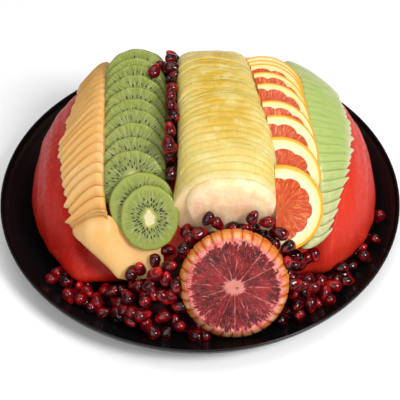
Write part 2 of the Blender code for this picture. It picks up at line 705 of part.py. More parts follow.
def build_loose_arils(paint):
    """Single arils that lie apart from the heap."""
    random.seed(8)
    for i, spot in enumerate(LOOSE_ARILS):
        turn = Matrix.Rotation(random.uniform(0, math.pi), 3, "Y")
        mesh = mesh_of(aril(Vector(), turn, 1.0), f"aril_{i + 1}")
        piece = add_object(mesh.name, mesh, paint)
        piece.location = spot


def main():
    """Build the platter."""
    for old in list(bpy.data.objects):
        bpy.data.objects.remove(old)
    bpy.context.scene.collection.children.link(model)
    tray = build_tray(material("tray_black", (0.012, 0.012, 0.013), 0.18))
    dome = build_watermelon(material("watermelon_flesh", (0.62, 0.09, 0.06)))
    bed = tree_of([dome])
    melon = material("cantaloupe_flesh", (0.86, 0.52, 0.22))
    build_fan("cantaloupe_fan", melon, (CANTALOUPE_RIGHT, CANTALOUPE_LEFT), CANTALOUPE_SLICES,
              CANTALOUPE_START, CANTALOUPE_END, CANTALOUPE_SKEW)
    build_front_slice(melon)
    green_melon = material("honeydew_flesh", (0.52, 0.66, 0.28))
    build_fan("honeydew_fan", green_melon, (HONEYDEW_LEFT, HONEYDEW_RIGHT), HONEYDEW_SLICES,
              HONEYDEW_START, HONEYDEW_END, HONEYDEW_SKEW)
    build_kiwi(material("kiwi_flesh", (0.34, 0.45, 0.10)))
    build_oranges(material("orange_flesh", (0.80, 0.38, 0.10)))
    build_pineapple(material("pineapple_flesh", (0.86, 0.68, 0.26)), bed)
    wall = tree_of([piece for piece in model.objects if piece is not tray])
    build_blood_orange(material("blood_orange_flesh", (0.36, 0.05, 0.07)))
    seeds = material("pomegranate_red", (0.25, 0.01, 0.02), 0.2)
    build_loose_arils(seeds)
    build_groove(seeds, bed, tree_of(list(model.objects)))
    build_heap(seeds, wall, tree_of(list(model.objects)))


main()
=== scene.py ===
"""Looks of a sliced fruit platter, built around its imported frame.

A round black tray carries a peeled watermelon dome under fanned rows of cantaloupe, kiwi, pineapple,
orange and honeydew, with pomegranate arils in the groove and round the front, and a thick blood
orange slice. Metres, +Z up, the front at -Y.
"""
import math
import random
from functools import cached_property

import bmesh
import bpy
from mathutils import Matrix, Vector, noise
from mathutils.bvhtree import BVHTree


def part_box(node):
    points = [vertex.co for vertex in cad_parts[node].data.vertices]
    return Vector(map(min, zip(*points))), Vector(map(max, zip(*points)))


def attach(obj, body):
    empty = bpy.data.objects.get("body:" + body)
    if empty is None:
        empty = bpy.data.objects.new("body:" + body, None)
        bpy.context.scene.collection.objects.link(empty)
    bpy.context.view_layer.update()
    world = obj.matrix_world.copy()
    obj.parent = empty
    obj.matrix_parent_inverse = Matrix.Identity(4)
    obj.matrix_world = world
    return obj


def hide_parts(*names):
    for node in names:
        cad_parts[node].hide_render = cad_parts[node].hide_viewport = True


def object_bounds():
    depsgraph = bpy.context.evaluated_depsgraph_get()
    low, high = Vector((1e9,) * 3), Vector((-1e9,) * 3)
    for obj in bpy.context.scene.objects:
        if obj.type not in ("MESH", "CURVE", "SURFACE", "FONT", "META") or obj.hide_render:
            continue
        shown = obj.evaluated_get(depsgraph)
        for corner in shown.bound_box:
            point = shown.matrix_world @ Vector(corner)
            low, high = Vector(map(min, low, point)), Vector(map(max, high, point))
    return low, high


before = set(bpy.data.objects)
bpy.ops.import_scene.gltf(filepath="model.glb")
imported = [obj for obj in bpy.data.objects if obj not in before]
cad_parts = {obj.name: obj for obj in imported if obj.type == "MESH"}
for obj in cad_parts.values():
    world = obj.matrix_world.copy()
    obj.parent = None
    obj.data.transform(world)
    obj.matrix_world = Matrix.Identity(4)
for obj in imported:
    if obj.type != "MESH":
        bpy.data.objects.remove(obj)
cad_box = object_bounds()

TURN = 2 * math.pi

# ---------------------------------------- camera and light

FOCAL_PIXELS = 1293.0
PICTURE = 400
SENSOR = 36.0
CAMERA_TILT = math.radians(47.219)
CAMERA_DISTANCE = 1.0
CAMERA_AIM = Vector((0, 0, 0.010254))
CAMERA_SPOT = CAMERA_AIM + Vector((0, -math.cos(CAMERA_TILT), math.sin(CAMERA_TILT))) * CAMERA_DISTANCE

# Lamps by name: place, size and power; they look at one point
LIGHTS = (("key", (0.75, -0.65, 1.05), 0.45, 15.0), ("fill", (-0.5, -1.1, 0.95), 1.2, 8.5),
          ("top", (0.05, 0.35, 1.5), 1.4, 11.0))
LIGHT_AIM = Vector((0, 0, 0.04))
FLOOR_HALF = 3.0
SKY_COLOUR = (0.97, 0.98, 1.0, 1)
SKY_STRENGTH = 0.20

# ---------------------------------------- sizes shared with the frame

TRAY_RADIUS = 0.1525
TRAY_HEIGHT = 0.022
TRAY_FLOOR = 0.0028
TRAY_FLOOR_RADIUS = 0.112
TRAY_SWEEP = 1.8
TRAY_LIP = 0.0013
TRAY_HUB = 0.0004
TRAY_ROUND = 0.0009
TRAY_EDGE = 0.0022
TRAY_UNDER = ((TRAY_RADIUS - 0.0004, 0.0188), (0.1475, 0.0140), (0.1420, 0.0098), (0.1360, 0.0064),
              (0.1300, 0.0036), (0.1225, 0.0012), (0.115, 0.0), (TRAY_FLOOR_RADIUS / 2, 0.0), (TRAY_HUB, 0.0))

DOME_X = 0.003
DOME_Y = 0.004
DOME_HALF_WIDTH = 0.1325
DOME_FRONT = 0.102
DOME_BACK = 0.108
DOME_HEIGHT = 0.100
DOME_PLAN_POWER = 2.5
DOME_POWERS = (2.3, 2.6)
DOME_FOOT = 0.0032
DOME_TUCK = 0.25
DOME_TUCK_HEIGHT = 0.022
SWELL_X = -0.086
SWELL_WIDTH = 0.021
SWELL_REACH = 0.0125
SWELL_TOP = 0.032
SWELL_RISE = 0.015
BED_Y = 0.015
BED_FRONT = 0.107
BED_BACK = 0.074
BED_HEIGHT = 0.070
BED_POWERS = (2.3, 1.8)
BED_SHOULDER = (0.002, -0.014)
BED_LEAST = ((0, 0.0810), (36, 0.0810), (50, 0.0730), (90, 0.0730), (92, 0.0), (180, 0.0))

CANTALOUPE_LEFT = ((0, -0.020), (17, -0.0556), (28, -0.079), (35, -0.0885), (49, -0.0925), (60, -0.0980),
                   (81, -0.1000), (97, -0.0960), (112, -0.0910), (180, -0.0850))
CANTALOUPE_RIGHT = ((0, -0.060), (33, -0.062), (44, -0.070), (56, -0.0724), (180, -0.0724))
HONEYDEW_LEFT = ((0, 0.068), (27, 0.074), (33, 0.0815), (42, 0.0862), (55, 0.0870), (66, 0.0860),
                 (78, 0.0840), (90, 0.0810), (102, 0.0790), (114, 0.0780), (124, 0.0705),
                 (135, 0.0685), (180, 0.0680))
HONEYDEW_RIGHT = ((0, 0.070), (28, 0.084), (33, 0.0886), (45, 0.096), (56, 0.101), (73, 0.1080),
                  (99, 0.1105), (116, 0.1060), (180, 0.1000))
MELON_LIFT = 0.0035
MELON_STEP = 0.0014
MELON_INNER_LIFT = 0.0055
MELON_UNDER = 0.0007
CANTALOUPE_TURNS = (45.6, 163)
CANTALOUPE_SKEW = ((45.6, 350), (52, 420))
HONEYDEW_TURNS = (29, 163)
HONEYDEW_SKEW = ((0, -260),)

FRONT_SLICE = ((-0.0900, (-0.0640, 0.0490), (-0.0655, 0.0490), (-0.0668, 0.0478)),
               (-0.0790, (-0.0650, 0.0600), (-0.0730, 0.0545), (-0.0775, 0.0440)),
               (-0.0665, (-0.0660, 0.0620), (-0.0790, 0.0505), (-0.0860, 0.0360)),
               (-0.0580, (-0.0740, 0.0480), (-0.0845, 0.0385), (-0.0905, 0.0275)),
               (-0.0480, (-0.0785, 0.0400), (-0.0860, 0.0330), (-0.0915, 0.0255)),
               (-0.0360, (-0.0800, 0.0395), (-0.0855, 0.0340), (-0.0905, 0.0270)),
               (-0.0260, (-0.0800, 0.0400), (-0.0845, 0.0350), (-0.0890, 0.0290)))
FRONT_SLICE_THICKNESS = 0.0030

KIWI_RADIUS = 0.02375
KIWI_THICKNESS = 0.0036
KIWI_ROW = (
    (0.0977, 0.0171, -56, -0.0478), (0.1, 0.0392, -38, -0.0478), (0.0984, 0.059, -21, -0.0478),
    (0.0932, 0.076, -6, -0.0478), (0.083, 0.093, 12, -0.0478), (0.066, 0.107, 30.4, -0.0478),
    (0.0551, 0.1077, 32.7, -0.0478), (0.0465, 0.1084, 34.4, -0.0478), (0.0352, 0.1084, 36.7, -0.0478),
    (0.0231, 0.1074, 39.2, -0.0478), (0.0124, 0.1059, 41.4, -0.0478), (0.0025, 0.1044, 43.4, -0.0478),
    (-0.0088, 0.1018, 45.7, -0.0478), (-0.0198, 0.0986, 47.3, -0.0478), (-0.0302, 0.095, 48.7, -0.0478),
    (-0.045, 0.088, 50.8, -0.041), (-0.0545, 0.0847, 52.0, -0.0357))
KIWI_FRONT_WIDTH = 0.88

ORANGE_RADIUS = 0.0312
ORANGE_THICKNESS = 0.0040
ORANGE_ROW = (
    (0.0967, 0.0361, -31, 0.035, 0), (0.0913, 0.061, -14, 0.0355, 0), (0.0811, 0.086, 6, 0.0362, 0),
    (0.06, 0.1057, 26.7, 0.0465, 0), (0.0518, 0.1089, 28.5, 0.0465, 1), (0.0442, 0.112, 30.2, 0.0465, 2),
    (0.0328, 0.1138, 32.7, 0.0478, 4), (0.02, 0.1145, 35.5, 0.0498, 6), (0.003, 0.113, 39.2, 0.0525, 7),
    (-0.0108, 0.1118, 42.2, 0.0546, 8), (-0.028, 0.1068, 45.3, 0.0558, 8), (-0.048, 0.0986, 49.0, 0.0568, 9))

PINEAPPLE_LEFT = ((-0.072, -0.0140), (-0.045, -0.0152), (-0.025, -0.0160), (0.040, -0.0178),
                  (0.105, -0.0184))
PINEAPPLE_RIGHT = ((-0.072, 0.0560), (-0.038, 0.0540), (-0.019, 0.0515), (0.005, 0.0460),
                   (0.054, 0.0375), (0.105, 0.0330))
PINEAPPLE_FACE = -0.070
PINEAPPLE_HEIGHT = 0.1150
PINEAPPLE_FRONT = 0.112
PINEAPPLE_FLAT = 0.014
PINEAPPLE_BACK = 0.082
PINEAPPLE_POWERS = (2.3, 3.0)
PINEAPPLE_TILT = 90
PINEAPPLE_STEP = 0.0010
PINEAPPLE_FACE_DEPTH = 0.040
PINEAPPLE_FACE_FOOT = 0.8
PINEAPPLE_ARCH_POWER = (2.2, 4.0)

BLOOD_FACE_RADIUS = 0.0320
BLOOD_BACK_RADIUS = 0.0390
BLOOD_THICKNESS = 0.0140
BLOOD_BULGE = 0.0012
BLOOD_FOOT = (0.0240, -0.1315, 0.0092)
BLOOD_TILT = 50

ARIL_LENGTH = 0.0118
ARIL_WIDTH = 0.0080

# ---------------------------------------- finer detail

TRAY_BEAD = 0.00035
TRAY_BEAD_RADIUS = 0.1474
TRAY_BEAD_WIDTH = 0.0007
PEEL_CUT = 0.0003
PEEL_FACET = 0.0002
PEEL_WAVE = 0.0006
CANTALOUPE_SLICES = 31
CANTALOUPE_FILLERS = 3
HONEYDEW_SLICES = 34
FAN_COLUMNS = 24
FAN_TUCK = 0.0045
FAN_SINK = 0.0020
FAN_CURVE = 1.35
FAN_TOOTH = (0.0008, 0.0024)
FAN_TIP_DROP = 0.0011
FAN_WAVE = 0.00025
HONEYDEW_INNER_LIFT = 0.0030
HONEYDEW_STEP = MELON_STEP * 0.6
FILLER_INNER = -0.0640
FILLER_WIDTH = 0.0245
FILLER_HIGH = 0.0030
FILLER_LOW = 0.0008
FILLER_UNDER = 0.0015
FRONT_SLICE_THIN = 0.0010
FRONT_SLICE_WAVE = 0.0002
FRONT_SLICE_TUCK = ((-0.0900, 0.0), (-0.0790, 0.0), (-0.0665, 0.0020), (-0.0580, 0.0090), (-0.0480, 0.0085),
                    (-0.0260, 0.0050))
ORANGE_TUCK = 0.0022
ORANGE_PULP = 0.00028
ORANGE_GRAIN = 0.00022
PINEAPPLE_SLICES = 46
PINEAPPLE_COLUMNS = 40
PINEAPPLE_BOW = 1.5
PINEAPPLE_INSET = 0.0080
PINEAPPLE_FLARE = 0.0070
PINEAPPLE_SETTLE = 0.0003
PINEAPPLE_REACH = 0.0060
PINEAPPLE_DEPTH = 0.060
PINEAPPLE_DEEPEN = 0.14
PINEAPPLE_CLEAR = 0.0012
PINEAPPLE_SEAT = 0.0010
PINEAPPLE_LIFTS = (0.05, 0.15, 0.3, 0.6)
PINEAPPLE_DROPS = (0.1, 0.3, 0.6)
KIWI_SEEDS = 60
KIWI_SEED = (0.00155, 0.00058, 0.0004)
KIWI_SEED_SINK = 0.00030
KIWI_PIT = 0.00022
KIWI_WAVE = 0.00012
KIWI_PATTERNS = (0.74, 0.78, 0.84, 0.90)
KIWI_SEED_RINGS = ((0.48, 0.63), (0.33, 0.46))
BLOOD_NOTCHES = 31
BLOOD_SCORE = 0.035
BLOOD_SINK = 0.0005
BLOOD_HOLE = 0.0022
BLOOD_HOLE_SPOT = (0.045, -0.03)
ARIL_TAPER = 0.26
ARIL_EDGES = 12
HEAP_CORE = 0.0036
LINE_CORE = 0.0020
LOOSE_SIZE = 0.95
CREST_HALF = 0.0006
CREST_ENDS = (0.004, 0.003)

# Arils laid one by one: height of the centre over what carries it, and size
HEAP_LAID = (0.0020, 1.05)
KIWI_LAID = (0.0018, 1.0)
GROOVE_LAID = (-0.0022, 1.06)

# Arils rained on a node: tries, room between centres, height over its surface, and size
HEAP_RAIN = (3000, 0.0084, -0.0030, 1.0)
CREST_RAIN = (500, 0.0082, -0.0026, 0.9)
SIDE_RAIN = (500, 0.0078, -0.0030, 0.9)

# Places in the photograph, in its own pixels, of arils that can be told apart
KIWI_ARILS = ((154, 72), (160, 68))
GROOVE_ARILS = ((167, 58), (172, 66), (166, 73), (171, 82), (171, 89), (174, 97),
                (173, 104), (170, 116), (169, 130), (167, 141), (170, 151), (170, 159), (169, 176))
TOP_ARILS = ((187, 231), (200, 233), (184, 248), (191, 241), (232, 226), (243, 227), (254, 227),
             (280, 233), (270, 237), (276, 244), (287, 247), (280, 253), (304, 258), (315, 254),
             (300, 262), (168, 250), (262, 233), (289, 255), (292, 265), (288, 271), (297, 256), (284, 262))
FRONT_ARILS = (
    (52, 281), (58, 274), (64, 283), (71, 296), (78, 286), (80, 297), (88, 293), (91, 311), (99, 301),
    (103, 316), (112, 293), (116, 316), (119, 303), (120, 288), (124, 312), (129, 297), (131, 272),
    (135, 286), (131, 323), (133, 314), (140, 268), (139, 288), (144, 302), (143, 316), (147, 324),
    (150, 287), (153, 293), (154, 276), (155, 261), (154, 332), (158, 272), (163, 316), (161, 298),
    (167, 332), (170, 267), (166, 279), (172, 296), (179, 306), (181, 325), (195, 335), (174, 288),
    (291, 264), (293, 275), (302, 274), (292, 283), (300, 284), (295, 293), (307, 293), (296, 304),
    (309, 304), (298, 316), (283, 323), (310, 286), (319, 284), (323, 293), (316, 305), (328, 300),
    (337, 279), (341, 268), (343, 276), (353, 268), (347, 284), (332, 286), (356, 255), (364, 259),
    (367, 242), (360, 251), (374, 219))


def along(stations, at):
    """Value at a place on a table of (place, value) pairs, straight between them."""
    pairs = sorted(stations)
    if at <= pairs[0][0]:
        return pairs[0][1]
    for (a, low), (b, high) in zip(pairs, pairs[1:]):
        if at <= b:
            return low + (high - low) * (at - a) / (b - a)
    return pairs[-1][1]


def between(low, high, share):
    """Value a share of the way from low to high."""
    return low + (high - low) * share


def smooth(value):
    """Smooth step from 0 to 1."""
    t = min(1.0, max(0.0, value))
    return t * t * (3 - 2 * t)


def wave(a, b=0.0, c=0.0):
    """Smooth noise about 0, within 1."""
    return noise.noise(Vector((a, b, c)))


def spoke(turn):
    """Level unit vector at a turn about Z."""
    return Vector((math.cos(turn), math.sin(turn), 0))


def squared(run, rise, power):
    """Reach of a squared circle along a direction."""
    return (abs(run) ** power + abs(rise) ** power) ** (-1 / power)


# ---------------------------------------- node materials

def shade_of(colour):
    """Linear colour of six hex digits of display colour; anything else is passed on."""
    if not isinstance(colour, str):
        return colour
    parts = [int(colour[i:i + 2], 16) / 255 for i in (0, 2, 4)]
    return tuple(p / 12.92 if p <= 0.04045 else ((p + 0.055) / 1.055) ** 2.4 for p in parts) + (1.0,)


class Value:
    """A socket of a paint's nodes, with arithmetic on it that adds nodes."""

    def __init__(self, paint, socket):
        self.paint = paint
        self.socket = socket

    def math(self, operation, b=0.0, c=0.0):
        """Arithmetic with up to two more values."""
        return self.paint.math(operation, self, b, c)

    def __mul__(self, other):
        return self.math("MULTIPLY", other)

    def __add__(self, other):
        return self.math("ADD", other)

    def __sub__(self, other):
        return self.math("SUBTRACT", other)

    def __rsub__(self, other):
        return self.paint.math("SUBTRACT", other, self)

    def __abs__(self):
        return self.math("ABSOLUTE")

    def fade(self, low, high, start=0.0, end=1.0):
        """Smooth change from start to end while the value goes from low to high."""
        inputs = {"Value": self, "From Min": low, "From Max": high, "To Min": start, "To Max": end}
        return self.paint.node("ShaderNodeMapRange", inputs, interpolation_type="SMOOTHSTEP")

    def mix(self, a, b):
        """Blend of two colours by the value."""
        inputs = {0: self, 6: shade_of(a), 7: shade_of(b)}
        return self.paint.node("ShaderNodeMix", inputs, out=2, data_type="RGBA")

    def noise(self, scale=1.0, detail=3.0, roughness=0.55, distortion=0.0):
        """Noise over a place."""
        inputs = {"Vector": self, "Scale": scale, "Detail": detail, "Roughness": roughness,
                  "Distortion": distortion}
        return self.paint.node("ShaderNodeTexNoise", inputs)

    def cells(self, scale):
        """Cell pattern over a place."""
        return self.paint.node("ShaderNodeTexVoronoi", {"Vector": self, "Scale": scale})

    def split(self):
        """The three parts of a vector."""
        return [self.paint.node("ShaderNodeSeparateXYZ", {0: self}, out=i) for i in range(3)]

    def stretch(self, x, y, z):
        """Vector scaled on each axis."""
        return self.paint.node("ShaderNodeVectorMath", {0: self, 1: (x, y, z)}, operation="MULTIPLY")

    def bump(self, depth, strength, before=None):
        """Normal of a relief whose full height is a depth in metres, over another relief."""
        inputs = {"Height": self, "Distance": depth, "Strength": strength}
        if before is not None:
            inputs["Normal"] = before
        return self.paint.node("ShaderNodeBump", inputs)


class Paint:
    """A node material whose colour is laid on in coats."""

    def __init__(self, name, **values):
        self.material = bpy.data.materials.new(name)
        self.material.use_nodes = True
        self.tree = self.material.node_tree
        self.shader = self.tree.nodes["Principled BSDF"]
        self.colour = None
        for socket, value in values.items():
            self.shader.inputs[socket.replace("_", " ")].default_value = value

    @cached_property
    def spot(self):
        """Place on the object in metres."""
        return self.node("ShaderNodeTexCoord", {}, out=3)

    @cached_property
    def local(self):
        """Place on the single slice or aril."""
        return self.node("ShaderNodeAttribute", {}, out=1, attribute_name="local")

    @cached_property
    def tone(self):
        """Number from 0 to 1 of the single slice or aril."""
        return self.node("ShaderNodeAttribute", {}, out=2, attribute_name="tone")

    def node(self, kind, inputs, out=0, **settings):
        """Add a node whose named or numbered inputs take a Value or what the socket itself holds."""
        made = self.tree.nodes.new(kind)
        for key, value in settings.items():
            setattr(made, key, value)
        for key, value in inputs.items():
            if isinstance(value, Value):
                self.tree.links.new(value.socket, made.inputs[key])
            else:
                made.inputs[key].default_value = value
        return Value(self, made.outputs[out])

    def math(self, operation, a, b=0.0, c=0.0):
        """Arithmetic on up to three values."""
        return self.node("ShaderNodeMath", {0: a, 1: b, 2: c}, operation=operation)

    def join(self, x, y, z=0.0):
        """Vector of three parts."""
        return self.node("ShaderNodeCombineXYZ", {0: x, 1: y, 2: z})

    def length(self, x, y):
        """Length of a flat vector."""
        return self.node("ShaderNodeVectorMath", {0: self.join(x, y)}, out=1, operation="LENGTH")

    def polar(self):
        """Radius and angle about a slice's middle, from its local place."""
        x, y, _ = self.local.split()
        return self.length(x, y), y.math("ARCTAN2", x)

    def coat(self, share, colour):
        """Lay a colour over what is there, by a share."""
        self.colour = share.mix(self.colour, colour)

    def cloud(self, scale, low, high, start=0.0, end=1.0, detail=3):
        """Soft patches over the object."""
        return self.spot.noise(scale, detail).fade(low, high, start, end)

    def grain(self, scale, depth, strength, detail=3):
        """Relief of fine noise over the object."""
        return self.spot.noise(scale, detail).bump(depth, strength)

    def finish(self, normal=None, roughness=None):
        """Connect the colour, the relief and the roughness, and give the material."""
        for socket, value in (("Base Color", self.colour), ("Normal", normal), ("Roughness", roughness)):
            if value is not None:
                self.tree.links.new(value.socket, self.shader.inputs[socket])
        return self.material


def flesh(name, roughness=0.32, soft=0.25, reach=0.003, gloss=0.28):
    """Moist fruit flesh: a soft, slightly glossy Principled material."""
    return Paint(name, Roughness=roughness, Subsurface_Weight=soft, Subsurface_Scale=reach,
                 Subsurface_Radius=(1.0, 0.6, 0.35), Specular_IOR_Level=gloss, Coat_Weight=0.06,
                 Coat_Roughness=0.12)


def tray_paint():
    """Gloss black with the faintest mottle."""
    paint = Paint("tray_gloss_black", Specular_IOR_Level=0.3)
    dust = paint.cloud(900, 0.55, 0.8, detail=2)
    paint.colour = dust.mix((0.003, 0.003, 0.0034, 1), (0.007, 0.007, 0.008, 1))
    return paint.finish(paint.grain(160, 0.0001, 0.3, 2), paint.cloud(40, 0.3, 0.7, 0.16, 0.24, 4))


def watermelon_paint():
    """Red crumbly flesh with pale grains and long fibres, with painted shade on the left side and at the
    foot.
    """
    paint = flesh("watermelon_flesh_wet", 0.44, 0.15, gloss=0.14)
    x, _, z = paint.spot.split()
    # Painted shade: the left side is a darker red than the right, as if the light falls from the right.
    paint.colour = x.fade(-0.10, 0.10).mix("b61809", "cd311e")
    # Painted shade: darker red low at the foot, stronger on the left.
    paint.coat(z.fade(0.070, 0.015) * x.fade(-0.05, 0.10, 0.7, 0.35), "9f0b03")
    paint.coat(paint.cloud(22, 0.35, 0.75, 0, 0.45), "bc2211")
    fibre = paint.spot.stretch(420, 60, 60).noise()
    paint.coat(fibre.fade(0.58, 0.80, 0, 0.12), "da462d")
    vein = abs(paint.spot.stretch(45, 30, 16).noise(1.0, 2, 0.5, 1.2) - 0.5)
    paint.coat(vein.fade(0.018, 0.0) * 0.20, "de5d38")
    paint.coat(paint.spot.cells(420).fade(0.28, 0.05, 0, 0.08), "ec7654")
    relief = fibre.bump(0.0010, 0.3, paint.grain(700, 0.0006, 0.45))
    return paint.finish(relief, paint.cloud(260, 0.35, 0.7, 0.40, 0.6, 2))


def cantaloupe_paint():
    """Pale orange flesh with painted shade in each crease and towards the back, beige at the rind side."""
    paint = flesh("cantaloupe_flesh_wet", 0.46, 0.3, 0.004)
    across, down, _ = paint.local.split()
    _, y, _ = paint.spot.split()
    paint.colour = paint.cloud(60, 0.3, 0.75).mix("e2ae64", "e0b779")
    paint.coat(paint.tone * 0.35, "df9f54")
    # Painted shade: darker tan towards the back of the platter.
    paint.coat(y.fade(-0.02, 0.07, 0, 0.6), "c2924a")
    # Painted shade: deeper orange down each slice into the crease under the next one, darkest right at the
    # crease.
    paint.coat(down.fade(0.30, 0.95, 0, 0.55), "cc8838")
    paint.coat(down.fade(0.80, 1.0, 0, 0.8), "ad6925")
    paint.coat(across.fade(0.86, 1.0, 0, 0.7), "d5bc83")
    return paint.finish(paint.grain(520, 0.0004, 0.45))


def honeydew_paint():
    """Pale green flesh with greener streaks along each slice, painted shade in each crease and whitish outer
    tips.
    """
    paint = flesh("honeydew_flesh_wet", 0.33, 0.3, 0.004)
    across, down, _ = paint.local.split()
    _, y, _ = paint.spot.split()
    streak = paint.join(across * 1.6, down.math("MULTIPLY_ADD", 2.2, paint.tone * 90)).noise(1.6, 3, 0.6)
    paint.colour = (y.fade(-0.075, -0.02) * y.fade(0.10, 0.02)).mix("c3bf91", "a9b96b")
    paint.coat(streak.fade(0.42, 0.72, 0, 0.6), "89aa4d")
    # Painted shade: darker olive down each slice into the crease under the next one.
    paint.coat(down.fade(0.7, 1.0, 0, 0.6), "7f934b")
    paint.coat(across.fade(0.75, 1.0, 0, 0.65), "ccc9aa")
    return paint.finish(paint.grain(480, 0.0004, 0.45))


def kiwi_paint():
    """Green flesh with pale rays, a darker seed ring and a long cream core."""
    paint = flesh("kiwi_flesh_wet", 0.26)
    radius, angle = paint.polar()
    x, y, _ = paint.local.split()
    tone = paint.tone * 40
    rays = paint.join(angle * 9, radius * 1.6, tone).noise(1.5, 3, 0.6)
    fine = paint.join(angle * 22, radius * 3.0, tone).noise(1.5, 2, 0.6)
    ring = radius.fade(0.24, 0.34) * radius.fade(0.98, 0.78)
    belt = radius.fade(0.26, 0.36) * radius.fade(0.74, 0.52)
    paint.colour = radius.fade(0.55, 0.97).mix("838d3e", "909a43")
    paint.coat(rays.fade(0.46, 0.64) * ring * 0.45, "b8b57b")
    paint.coat(fine.fade(0.52, 0.36) * ring * 0.6, "5d7025")
    paint.coat(belt * fine.fade(0.50, 0.30) * 0.75, "38411a")
    paint.coat(belt * fine.fade(0.58, 0.74) * 0.7, "c5bf9b")
    ragged = paint.join(angle, tone).noise(1.1, 1).fade(0.2, 0.8, -0.04, 0.04)
    core = paint.length(x * 1.25, y * 0.85) + ragged
    paint.coat(core.fade(0.34, 0.25, 0, 0.9), "a2a457")
    paint.coat(core.fade(0.24, 0.18), "d6ca9b")
    paint.coat(radius.fade(0.965, 1.0, 0, 0.8), "7c8934")
    return paint.finish((rays * ring).bump(0.0008, 0.35, paint.grain(600, 0.0003, 0.4, 2)))


def seed_paint():
    """Gloss black-brown kiwi seeds."""
    paint = Paint("kiwi_seed_black", Roughness=0.22, Coat_Weight=0.4)
    paint.colour = paint.spot.noise(900, 2).mix("120f0c", "33291c")
    return paint.finish()


def pulp(paint, segments, tone, scallop, rim, twist):
    """Citrus face in polar form: share of flesh, distance from a membrane and the juice streaks."""
    radius, angle = paint.polar()
    warp = paint.join(angle, tone).noise(0.9, 1).math("MULTIPLY_ADD", twist, -twist / 2)
    turns = (angle + warp) * (segments / TURN) + 100.0
    number = turns.math("FLOOR")
    middle = abs(turns.math("FRACT") - 0.5)
    edge = (0.5 - middle) * (radius * (TURN / segments))
    odd = paint.join(number, tone).noise(3.7, 0).math("MULTIPLY_ADD", 0.07, -0.035)
    inside = odd + rim - (middle * 2).math("POWER", 2.6) * scallop - radius
    streak = paint.join(angle * 13, radius * 4.2, tone + number * 3.1).noise(1.5, 4, 0.65, 0.6)
    return radius, angle, inside, edge, streak


def orange_paint():
    """Deep orange segments, a thick cream pith and a bright rind."""
    paint = flesh("orange_flesh_wet", 0.28)
    rim = paint.tone.fade(0.62, 0.97, 0.865, 0.715)
    radius, _, inside, edge, streak = pulp(paint, 10, paint.tone * 40, 0.06, rim, 0.25)
    juice = streak.fade(0.54, 0.66, 0, 0.7).mix(streak.fade(0.32, 0.72).mix("b5300a", "d25a1c"), "f0a05e")
    meat = inside.fade(-0.006, 0.006) * edge.fade(0.001, 0.008)
    paint.colour = meat.mix("d88038", juice)
    pith = paint.cloud(260, 0.3, 0.7, detail=2).mix("eee2c4", "ecd8a8")
    paint.coat(inside.fade(0.004, -0.012), radius.fade(0.74, 0.90, 0, 0.6).mix(pith, "edc86c"))
    pores = paint.spot.cells(900)
    rind = (radius + paint.tone.fade(0.7, 0.97, 0.0, 0.03)).fade(0.94, 0.96)
    paint.coat(rind, pores.fade(0.1, 0.5).mix("e48a06", "f4a616"))
    relief = meat.bump(0.0004, 0.4, (streak * meat).bump(0.0012, 0.5))
    return paint.finish((pores * rind).bump(0.0005, 0.5, relief))


def blood_juice(paint, coarse, vein, edge):
    """Wine red pulp with pale veins, and films between its segments."""
    patch = paint.local.stretch(2.4, 2.4, 0).noise()
    paint.colour = patch.fade(0.36, 0.64).mix("50060b", "8c161c")
    paint.coat(coarse.fade(0.50, 0.34, 0, 0.6), "360408")
    paint.coat(coarse.fade(0.54, 0.66, 0, 0.5), "ad2a2c")
    paint.coat(vein.fade(0.55, 0.64, 0, 0.7), "c45c58")
    paint.coat(vein.fade(0.64, 0.73, 0, 0.85), "e6a498")
    paint.coat(edge.fade(0.020, 0.003) * coarse.fade(0.40, 0.58) * 0.8, "d0706a")


def blood_peel(paint, angle, radius, depth, tone):
    """Orange rind with painted highlights between its scores and painted shade in them."""
    petal = abs((angle * (BLOOD_NOTCHES / 2)).math("SINE"))
    # Noise that breaks up the painted highlight on the petals.
    highlight_breakup = paint.join(angle, tone).noise(4, 2).fade(0.35, 0.6)
    # Painted highlight: cream pink across the middle of each petal between the scores.
    petal_highlight = petal.fade(0.35, 0.9) * depth.fade(-0.0115, -0.004) * highlight_breakup * 0.8
    peel_with_highlight = petal_highlight.mix(paint.cloud(150, 0.35, 0.7).mix("e58a34", "cd5a18"), "f8c8a2")
    paint.coat(depth.fade(-0.0008, -0.0045), peel_with_highlight)
    # Painted shade: dark red-brown down in the scores of the rind.
    paint.coat(petal.fade(0.26, 0.05) * radius.fade(0.975, 1.02) * 0.7, "90280e")


def blood_orange_paint():
    """Wine red segments, a thin pink pith, a scored orange rind and a pink middle."""
    paint = flesh("blood_orange_flesh_wet", 0.30, 0.2, 0.002)
    tone = paint.tone * 40
    radius, angle, inside, edge, _ = pulp(paint, 13, tone, 0.03, 0.975, 0.9)
    x, y, depth = paint.local.split()
    coarse = paint.join(angle * 6.5, radius * 3.2, tone).noise(1.5, 3, 0.6, 1.0)
    vein = paint.join(angle * 11, radius * 4.5, tone).noise(1.4, 4, 0.7, 1.6)
    blood_juice(paint, coarse, vein, edge)
    pith = paint.cloud(200, 0.35, 0.7).mix("ee9484", "d85a60")
    paint.coat((inside + coarse.fade(0.3, 0.7, 0.07, -0.07)).fade(0.02, -0.05), pith)
    blood_peel(paint, angle, radius, depth, tone)
    core = paint.length(x * 0.85, y * 1.15) + coarse.fade(0.3, 0.7, 0.05, -0.05)
    paint.coat(core.fade(0.215, 0.165), vein.fade(0.4, 0.7).mix("d97c72", "e6a18f"))
    relief = coarse.bump(0.0022, 0.5, vein.bump(0.0010, 0.5))
    pores = paint.spot.cells(700) * depth.fade(-0.001, -0.004)
    return paint.finish(pores.bump(0.0005, 0.5, relief))


